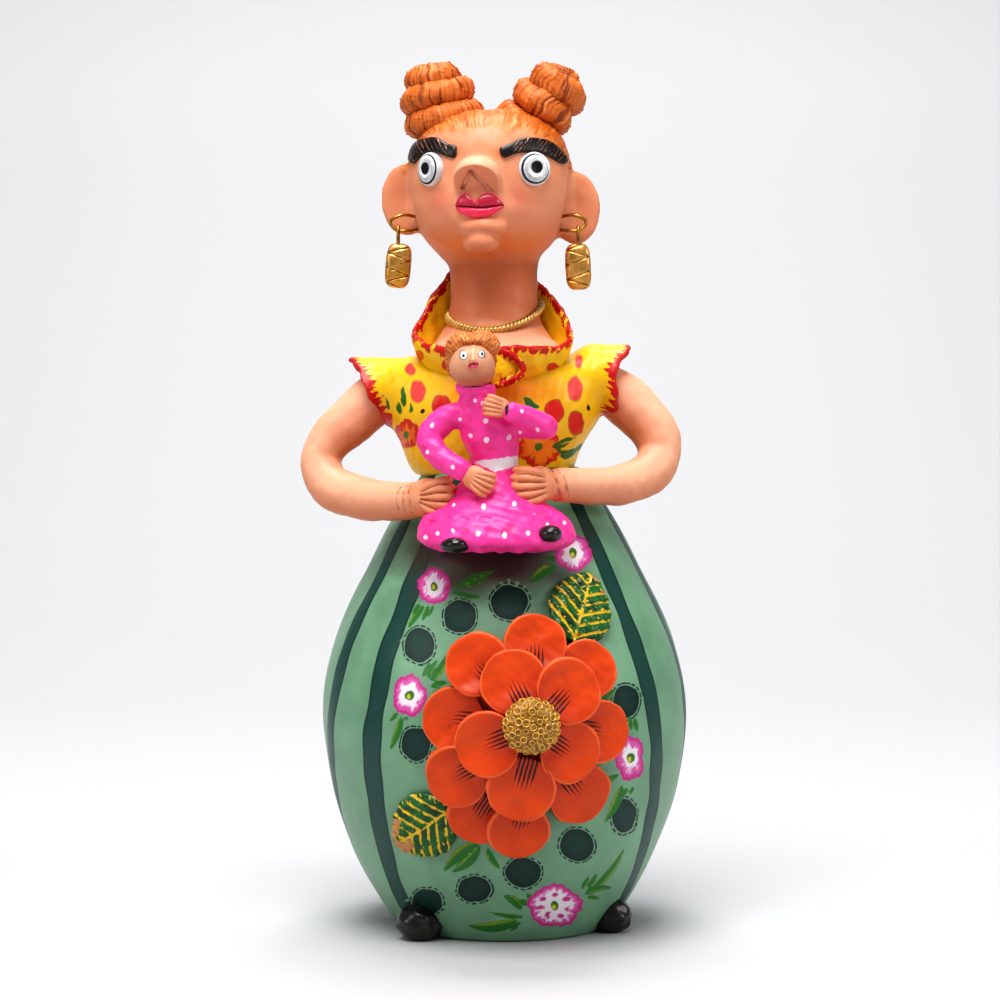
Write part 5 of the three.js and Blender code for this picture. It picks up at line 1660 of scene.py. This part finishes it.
# Gold paint with shade painted in: darker and yellower towards the bottom, and dark in the cuts.
drop_gold = varnished("gilt_drop", "#D6A55C",
    [("yellowed", "#D59A2C", 0, 1.4, 0.4), ("cut", "#7A4C1C", 0.1, 0.5, 0.1)], drift=0.25, drift_mm=4,
    roughness=0.3, varnish=0.3, lump=0.4, lump_mm=2)
for gilt, share_of_metal in ((drop_gold, 0.6), (necklace_gold, 0.5), (gilt_finish, 0.35)):
    gilt.node_tree.nodes["Principled BSDF"].inputs["Metallic"].default_value = share_of_metal
EARRINGS = [("right", -1, (-37.8, -2.6, 258.8), 8.2, 5), ("left", 1, (25.8, -6.2, 258.6), 8.5, -3)]
HOOP = [
    (-5, 6.5, 2.4), (-4.6, 1.5, 2.8), (0, -1.6, 3.1), (4.2, -2, 0.8), (2.2, -2.6, -2.4), (-2, -2, -2.7),
    (-4.8, 1.5, -2.2), (-5, 6.5, -2),
]
LINK = [(0, 3.8), (1.8, 2.2), (1.8, -2.2), (0, -3.8), (-1.8, -2.2), (-1.8, 2.2)]
WIRE = 0.6
for name, side, place, half_drop, lean in EARRINGS:
    hoop_path = spline([(place[0] + side * x, place[1] + y, place[2] + z) for x, y, z in HOOP], 90)
    finish_piece(f"{name}_hoop", wire(f"{name}_hoop", hoop_path, WIRE, brass_wire), brass_wire,
        stands_for=f"{name}_ear_hoop")
    middle = np.array(place) + [side * 1.3, -2.5, -4.8]
    loop = [middle + [0, deep, up] for deep, up in LINK]
    loop_path = spline(loop[-2:] + loop + loop[:3], 111)[20:-22]
    finish_piece(f"{name}_link", wire(f"{name}_link", loop_path, WIRE, brass_wire, closed=True), brass_wire,
        stands_for=f"{name}_earring_link")
    rise, turn = np.meshgrid(np.linspace(-1.5, 1.5, 90), full_turn(72), indexing="ij")

    def squared(value):
        return np.sign(value) * np.abs(value) ** 0.55

    body = np.stack([
        4.7 * squared(np.cos(rise)) * squared(np.sin(turn)),
        -3.4 * squared(np.cos(rise)) * squared(np.cos(turn)), half_drop * squared(np.sin(rise))], -1)
    flat, faces = skin(body)
    # From 0 to 1 and back down the bead.
    zigzag = np.abs((flat[:, 2] / 5.4 + 0.25 + 0.1 * side) % 1 - 0.5) * 2
    cut = 0.55 - np.abs(flat[:, 0] / 4.7 - (2 * zigzag - 1) * side) * 1.9
    cut = np.where(flat[:, 1] < 0, cut, 0.55 - np.abs(flat[:, 0] / 4.7 + (2 * zigzag - 1) * side) * 1.9)
    flat[:, :2] *= (1 - 0.15 * ease(-0.1, 0.45, cut))[:, None]
    points = flat @ turning(y=lean).T + middle + [0, 0, -2.6 - half_drop]
    # Shade painted dark in the zigzag cuts and towards the bottom of the bead.
    finish_piece(f"{name}_drop", plain_mesh(f"{name}_drop", points, faces), drop_gold,
        {"cut": cut, "yellowed": 0.6 * wobble(points, 7, 90) - flat[:, 2] / half_drop - 0.2},
        stands_for=f"{name}_earring_drop")

# %% [markdown]
# ## The child
#
# The child sits on the skirt in a long pink dress, one hand on the breast and one on the lap. The
# dress is pinched into dents round the hem. The head is a small ball with the face painted on, and
# the hair is a few flattened balls pressed together and furrowed with a pin.

# %% Dress
DRESS = [
    (141, -3, -48, 22, 16), (144.2, -3.1, -48.5, 27.6, 20), (149, -3.2, -47.8, 27.4, 19),
    (153.4, -3.4, -47, 24.6, 16.6), (158.4, -3.8, -46, 17.6, 12.6), (169, -4, -45, 8.7, 7.2),
]
BODICE = [
    (167, -4, -45, 8.4, 7), (174.4, -3.8, -45.2, 8.8, 7.4), (180, -5, -46, 10.2, 8),
    (186, -6, -46.5, 10.4, 8.2), (191, -8, -47.2, 8.6, 7.2), (195.5, -9.6, -48.4, 6.7, 6.2),
    (199.8, -10.4, -49, 7.2, 6.3),
]
CHILD_RIGHT_ARM = [
    (-12, -46.5, 188, 4.4), (-20, -46.5, 187.8, 4.7), (-26.4, -47.5, 180.6, 4.6), (-22.4, -51.5, 173.8, 4.3),
    (-15.4, -55.6, 169.8, 3.9),
]
CHILD_LEFT_ARM = [
    (0, -47.5, 186.6, 4.4), (7.6, -48.5, 184.8, 4.3), (14.6, -51, 184.6, 4.2), (8, -55.2, 187.8, 4),
    (2.4, -56.8, 189.8, 3.6),
]
HEM_DENTS = [
    (431.4, 521.8, 6, 2.6), (445.9, 518, 6, 2.6), (462, 518, 6.5, 2.8), (485.4, 517.8, 6.5, 2.8),
    (530.1, 514, 6, 2.4), (546.9, 512, 6, 2.2),
]
DRESS_DOTS = [
    (475, 400.8, 2.2), (460.4, 419.5, 2.2), (432.1, 425.2, 2.6), (485.7, 420.7, 3), (470.4, 435.6, 2.6),
    (486.5, 439.9, 3.2), (509, 437.1, 2.8), (455.1, 451.3, 2), (427.1, 451.7, 2.4), (452.8, 467.7, 2.6),
    (522.1, 411.1, 2.4), (537.7, 429.8, 2.2), (520.6, 431.8, 1.9), (483.4, 506.4, 3), (514.3, 503.7, 2.7),
    (453.6, 505.2, 2.1), (425.6, 537.3, 2.6), (437.8, 533.8, 2.2), (452.8, 530.8, 2.4), (478.3, 533.5, 2.8),
    (504.4, 535.1, 3.2), (528.2, 533.2, 2.6), (564.5, 522.8, 2.2), (547.7, 524.3, 2.1), (482.6, 403.5, 2.6),
]
BELT = [(472, 461.6), (518.6, 455.5), (518.6, 465), (495, 472)]  # corners in the picture

dress = Clay((-34, -72, 138), (28, -26, 203), 0.56)
dress.work(stack(DRESS, 1.5))
dress.work(stack(BODICE, 1), soft=1.5)
for stops in (CHILD_RIGHT_ARM, CHILD_LEFT_ARM):
    dress.work(rope(stops), soft=1.2)
dress_mesh = dress.skin("child_dress")
at = read_points(dress_mesh)
place = in_picture(at)
upper_part = [(x, y + 2.6, w * 0.8, h) for x, y, w, h in HEM_DENTS]  # all but this much of a dent
dents = np.minimum(inside_ovals(place, HEM_DENTS)[0], -inside_ovals(place, upper_part)[0])
hem = ease(153, 145, at[:, 2])
pleats = np.sin(14 * np.arctan2(at[:, 0] + 3, -(at[:, 1] + 47)) + wobble(at, 12, 100))
neck_x, neck_y = place[:, 0] - 475, place[:, 1] - 396.5
neck_crease = np.exp(-((neck_y - 0.05 * neck_x) / 1.6) ** 2) * (np.abs(neck_x) < 22)
press(dress_mesh,
      0.35 * hem * pleats - ease(-0.1, 0.6, dents) + 0.16 * wobble(at, 5, 101) - 0.45 * neck_crease)


def inside_corners(at, corners):
    """How far inside a shape with straight sides each picture place is, in mm."""
    reach = np.full(len(at), FAR)
    for (x0, y0), (x1, y1) in zip(corners, corners[1:] + corners[:1]):
        reach = np.minimum(reach,
            ((x1 - x0) * (at[:, 1] - y0) - (y1 - y0) * (at[:, 0] - x0)) / math.hypot(x1 - x0, y1 - y0))
    return reach * MM_PER_PX


# Bright pink acrylic with small white dots, with shade painted deeper in the dents of the hem and towards
# its bottom.
dress_finish = varnished("acrylic_pink_dress", "#F548A4", [
    ("deep", "#D02578", 0, 2.4, 0.6), ("white_dot", "#F4DDEA", -0.12, 0.12, 0.08),
    ("dot_middle", "#C9B4C6", -0.1, 0.2, 0.1), ("belt", "#E4E1E6", -0.15, 0.2, 0.12),
    ("cuff", "#1D120C", -0.1, 0.15, 0.08)], drift=0.1, drift_mm=7, roughness=0.44, varnish=0.15, lump=0.35,
    lump_mm=2.4)
at = read_points(dress_mesh)
place = shaken(in_picture(at), at, 0.4, 3, 102)
unseen = np.where(at[:, 1] < -44, 0, FAR)
# Black lines at the wrists, and a dark line painted as shade in the gap under the child's chin.
cuffs_and_neck_shade, _ = inside_strokes(place, [
    (473.6, 464.2, 466.4, 478.6, 3.4, 0), (506.4, 401.5, 505.4, 416, 2.6, -1),
    (459, 386.8, 491, 383.8, 1.1, 1.5)])
dot_middles = [(x, y + 0.4, 0.8, 0.9) for x, y, r in DRESS_DOTS if r > 2.5]  # in the larger dots
finish_piece("child_dress", dress_mesh, dress_finish, {
    "white_dot": inside_ovals(place, [(x, y, 0.86 * r, 0.95 * r) for x, y, r in DRESS_DOTS])[0] - unseen,
    "dot_middle": inside_ovals(place, dot_middles)[0] - unseen,
    "belt": inside_corners(place, BELT) - unseen, "cuff": cuffs_and_neck_shade - unseen,
    # Random darker patches, and shade painted towards the bottom and in the dents of the hem.
    "deep": 0.9 * wobble(at, 9, 104) + 1.6 * ease(146, 141, at[:, 2]) + 2 * ease(0, 0.6, dents) - 0.6})

# %% Child's hands
hand("child_right_hand", (-9.3, -57.4, 166.2), 0.67, -27, 10, False, 0.33, fan=0.6)
hand("child_left_hand", (-2.6, -57.4, 191.6), 0.55, 14, 12, True, 0.33, fan=0.75)

# %% Child's head
doll = Clay((-23, -63, 195), (0, -40, 218), 0.35)
doll.work(ball((-11.3, -51.4, 205), (8.1, 7.4, 7)))
doll.work(ball((-11.5, -50.2, 210), (6.3, 6.5, 5.5)), soft=4)
doll.work(ball((-11.2, -54.6, 208.2), (6, 4, 4)), soft=2)
doll.work(ball(seen(472.5, 361, -57.6), (3.4, 1.9, 3)), soft=1.6)
doll_nose = [(473.6, 350, -57.4, 0.7), (472.8, 356, -58.8, 1), (472.4, 360.4, -59.8, 1.35)]
doll.work(rope([(*seen(column, row, y), radius) for column, row, y, radius in doll_nose], 8), soft=1)
doll.work(ball(seen(473.4, 366.2, -59), (2.4, 1.2, 1.3)), soft=0.5)
for column, row in ((463.5, 355.1), (482, 354)):
    doll.work(ball(seen(column, row, -57.6), (1.5, 0.9, 1.7)), soft=0.4)
doll_mesh = doll.skin("child_head", rounds=1)
DOLL_EYES = [(463.5, 355.1, 3.9, 4.5), (481.6, 354, 2.9, 3.8)]
DOLL_PUPILS = [(463.5, 355.7, 1.4, 1.6), (482, 353.9, 1.2, 1.8)]
DOLL_UPPER = [
    (468.4, 366.6, 471.6, 363.4, 3, 0), (471.4, 363.4, 473.6, 364.6, 3, 0),
    (473.4, 364.4, 476.2, 363, 2.8, 0), (476, 363, 479.2, 365.2, 2.6, 0),
]
DOLL_LOWER = [(468, 367.4, 473, 368, 2.8, 0), (473, 366.8, 478.6, 365.8, 3.2, 0)]
# Strokes of painted shade beside the nose and in the eye sockets.
NOSE_SHADES = [(472, 352, 469.4, 362.6, 4.2, 0), (469, 361, 475, 361.6, 2.6, 0)]
DOLL_SOCKET_SHADES = [(459.6, 352.6, 463, 350, 4, 0), (478.6, 350.6, 484, 350.4, 2.4, 0)]
# Thin flesh acrylic over brown clay, with the face drawn by a fine brush, and shade painted below the
# cheeks, beside the nose and in the eye sockets.
doll_finish = varnished("acrylic_doll_skin", "#E5A988", [
    ("doll_jaw", "#C07C58", -1.6, 2, 0), ("nose_shade", "#9A6C50", 0, 1.3, 0.1),
    ("socket", "#A9826A", 0, 1.2, 0.1), ("eye_line", "#4A5560", -0.08, 0.12, 0.05),
    ("eye_white", "#EFF0F0", -0.06, 0.1, 0.03), ("pupil", "#101010", -0.06, 0.1, 0.03),
    ("mouth_low", "#E0637A", -0.1, 0.14, 0.05), ("mouth", "#B81F36", -0.1, 0.14, 0.05)], drift=0.06,
    drift_mm=5, roughness=0.45, lump=0.25, lump_mm=2)
at = read_points(doll_mesh)
place = in_picture(at)
unseen = np.where(at[:, 1] < -50, 0, FAR)
eye_reach = inside_ovals(place, DOLL_EYES)[0] - unseen
finish_piece("child_head", doll_mesh, doll_finish, {
    "eye_white": eye_reach - 0.1, "eye_line": eye_reach + 0.15,
    "pupil": inside_ovals(place, DOLL_PUPILS)[0] - unseen,
    "mouth": inside_strokes(place, DOLL_UPPER)[0] - unseen,
    "mouth_low": inside_strokes(place, DOLL_LOWER)[0] - unseen,
    # Painted shade below the cheeks, where the face slopes back.
    "doll_jaw": (place[:, 1] - 369.5 + 0.12 * (place[:, 0] - 472)) * 0.2,
    "nose_shade": inside_strokes(place, NOSE_SHADES)[0] - unseen,
    "socket": inside_strokes(place, DOLL_SOCKET_SHADES)[0] - unseen,
})

# %% Child's hair
LEFT_CURL, RIGHT_CURL = np.array([-15.6, -50.4, 213.4]), np.array([-6.8, -50.6, 214.2])
child_hair = Clay((-26, -62, 198), (3, -34, 223), 0.36)
child_hair.work(ball((-11.4, -45.6, 208.4), (8.8, 7.6, 7.8)))
child_hair.work(ball(LEFT_CURL, (5.4, 5, 4.4), y=-22), soft=0.9)
child_hair.work(ball(RIGHT_CURL, (5.9, 5, 4.2), y=34), soft=0.9)
child_hair.work(ball((-18.4, -48.4, 208), (2.6, 3.6, 5.6)), soft=1.4)
child_hair.work(ball((-11.6, -51.4, 214.9), (5.6, 5.8, 1.9)), soft=0.6)
parting = [(*seen(470.4, 330, -53), 0.9), (*seen(471.6, 337, -56), 0.8), (*seen(474, 343.6, -57), 0.5)]
child_hair.work(rope(parting, 12), soft=0.5, cut=True)
hair_mesh = child_hair.skin("child_hair", rounds=1)
at = read_points(hair_mesh)
from_left, from_right = at - LEFT_CURL, at - RIGHT_CURL
lean = from_right @ [math.cos(math.radians(34)), 0, -math.sin(math.radians(34))]
rim_angle = np.arctan2(at[:, 0] + 11.6, at[:, 2] - 206)
nearer_right = np.linalg.norm(from_right, axis=1) < np.linalg.norm(from_left, axis=1)
comb_way = np.where(nearer_right & (np.linalg.norm(from_right, axis=1) < 7.5), lean, 8.5 * rim_angle)
furrow = np.sin(comb_way * 2 * math.pi / 1.15 + 0.9 * wobble(at, 3, 110))
press(hair_mesh, -0.22 * ease(0, 1, furrow) + 0.12 * wobble(at, 1.6, 111))
# Pale orange acrylic over combed clay, with painted highlights on the ridges and painted shade in the brown
# furrows.
child_hair_finish = varnished("acrylic_child_hair", "#D98546", [("deep", "#A9602A", 0, 0.9, 0.2)], drift=0.1,
    drift_mm=4, roughness=0.55, varnish=0.05, lump_mm=1.2, lump=0.4,
    combed=("#F2B67C", "#9A5424", 0.5, None, 0.2))
# Shade painted into the furrows.
finish_piece("child_hair", hair_mesh, child_hair_finish,
    {"deep": 0.75 * furrow - 0.1, "comb": np.stack([comb_way, 0.2 * at[:, 1], 0.15 * at[:, 2]], 1)})

# %% Child's shoes
for name, middle, halves in (("child_right_shoe", (-17.2, -62.5, 143.6), (5.2, 5.6, 2.9)),
        ("child_left_shoe", (15.6, -61.5, 147.4), (4.4, 5.4, 3))):
    lump = Clay(np.array(middle) - 8, np.array(middle) + 8, 0.36)
    lump.work(ball(middle, halves))
    lump.work(ball(np.array(middle) + [0.6, -1.6, 0.5], np.array(halves) * 0.72), soft=1.5)
    mesh = lump.skin(name)
    finish_piece(name, mesh, shoe_finish)

# %% [markdown]
# ## The studio
#
# The figure stands on a white sheet that curves up behind it, under large soft lights. Nothing of it
# belongs to the figure.

# %% Backdrop
# Depth and height, in m.
SWEEP = [(-1.7, 0), (0.2, 0), (0.75, 0), (1.15, 0.1), (1.42, 0.4), (1.5, 0.85), (1.5, 2.4)]
HALF_WIDTH, SWEEP_ROWS = 1.6, 48
line = spline(SWEEP, SWEEP_ROWS)
sheet_points = np.array([(x, y, z) for x in (-HALF_WIDTH, HALF_WIDTH) for y, z in line])
sheet_points[:, 2] = np.maximum(sheet_points[:, 2], 0)
sheet_faces = [(i, SWEEP_ROWS + i, SWEEP_ROWS + 1 + i, i + 1) for i in range(SWEEP_ROWS - 1)]
sheet_mesh = bpy.data.meshes.new("white_sheet")
sheet_mesh.from_pydata(sheet_points.tolist(), [], sheet_faces)
sheet_mesh.shade_smooth()
# Matt white paper: no gloss, so only soft shadows show on it.
sheet_paper = bpy.data.materials.new("matt_white_paper")
sheet_paper.use_nodes = True
sheet_paper.node_tree.nodes["Principled BSDF"].inputs["Base Color"].default_value = (0.57, 0.57, 0.58, 1)
sheet_paper.node_tree.nodes["Principled BSDF"].inputs["Roughness"].default_value = 0.9
sheet_mesh.materials.append(sheet_paper)
set_out("white_sheet", sheet_mesh)

# %% Lights
world = bpy.data.worlds.new("studio")
world.use_nodes = True
world.node_tree.nodes["Background"].inputs["Color"].default_value = (1, 1, 1, 1)
world.node_tree.nodes["Background"].inputs["Strength"].default_value = 0.21
bpy.context.scene.world = world
LIGHTS = [
    ("top", (-0.1, -0.44, 1.15), (0, 0, 0.16), 0.6, 8.9), ("left", (-1, -0.6, 0.6), (0, 0, 0.16), 0.5, 2.2),
    ("right", (1, -0.5, 0.6), (0, 0, 0.16), 0.5, 2.8), ("wall", (0, 0.5, 1.9), (0, 1.5, 0.5), 0.8, 22.8),
]  # name, place, aim, side, watts
for name, place, aim, side, watts in LIGHTS:
    lamp = bpy.data.lights.new(name, "AREA")
    lamp.size = side
    lamp.energy = watts
    light = set_out(name, lamp)
    light.location = place
    light.rotation_euler = (Vector(aim) - Vector(place)).to_track_quat("-Z", "Y").to_euler()
bpy.context.scene.view_settings.view_transform = "Standard"
bpy.context.scene.view_settings.look = "High Contrast"

# %% [markdown]
# ## Triangles
#
# The triangles of all the pieces are counted.

# %% Triangle count
print("all pieces:", sum(made_triangles.values()), "triangles")
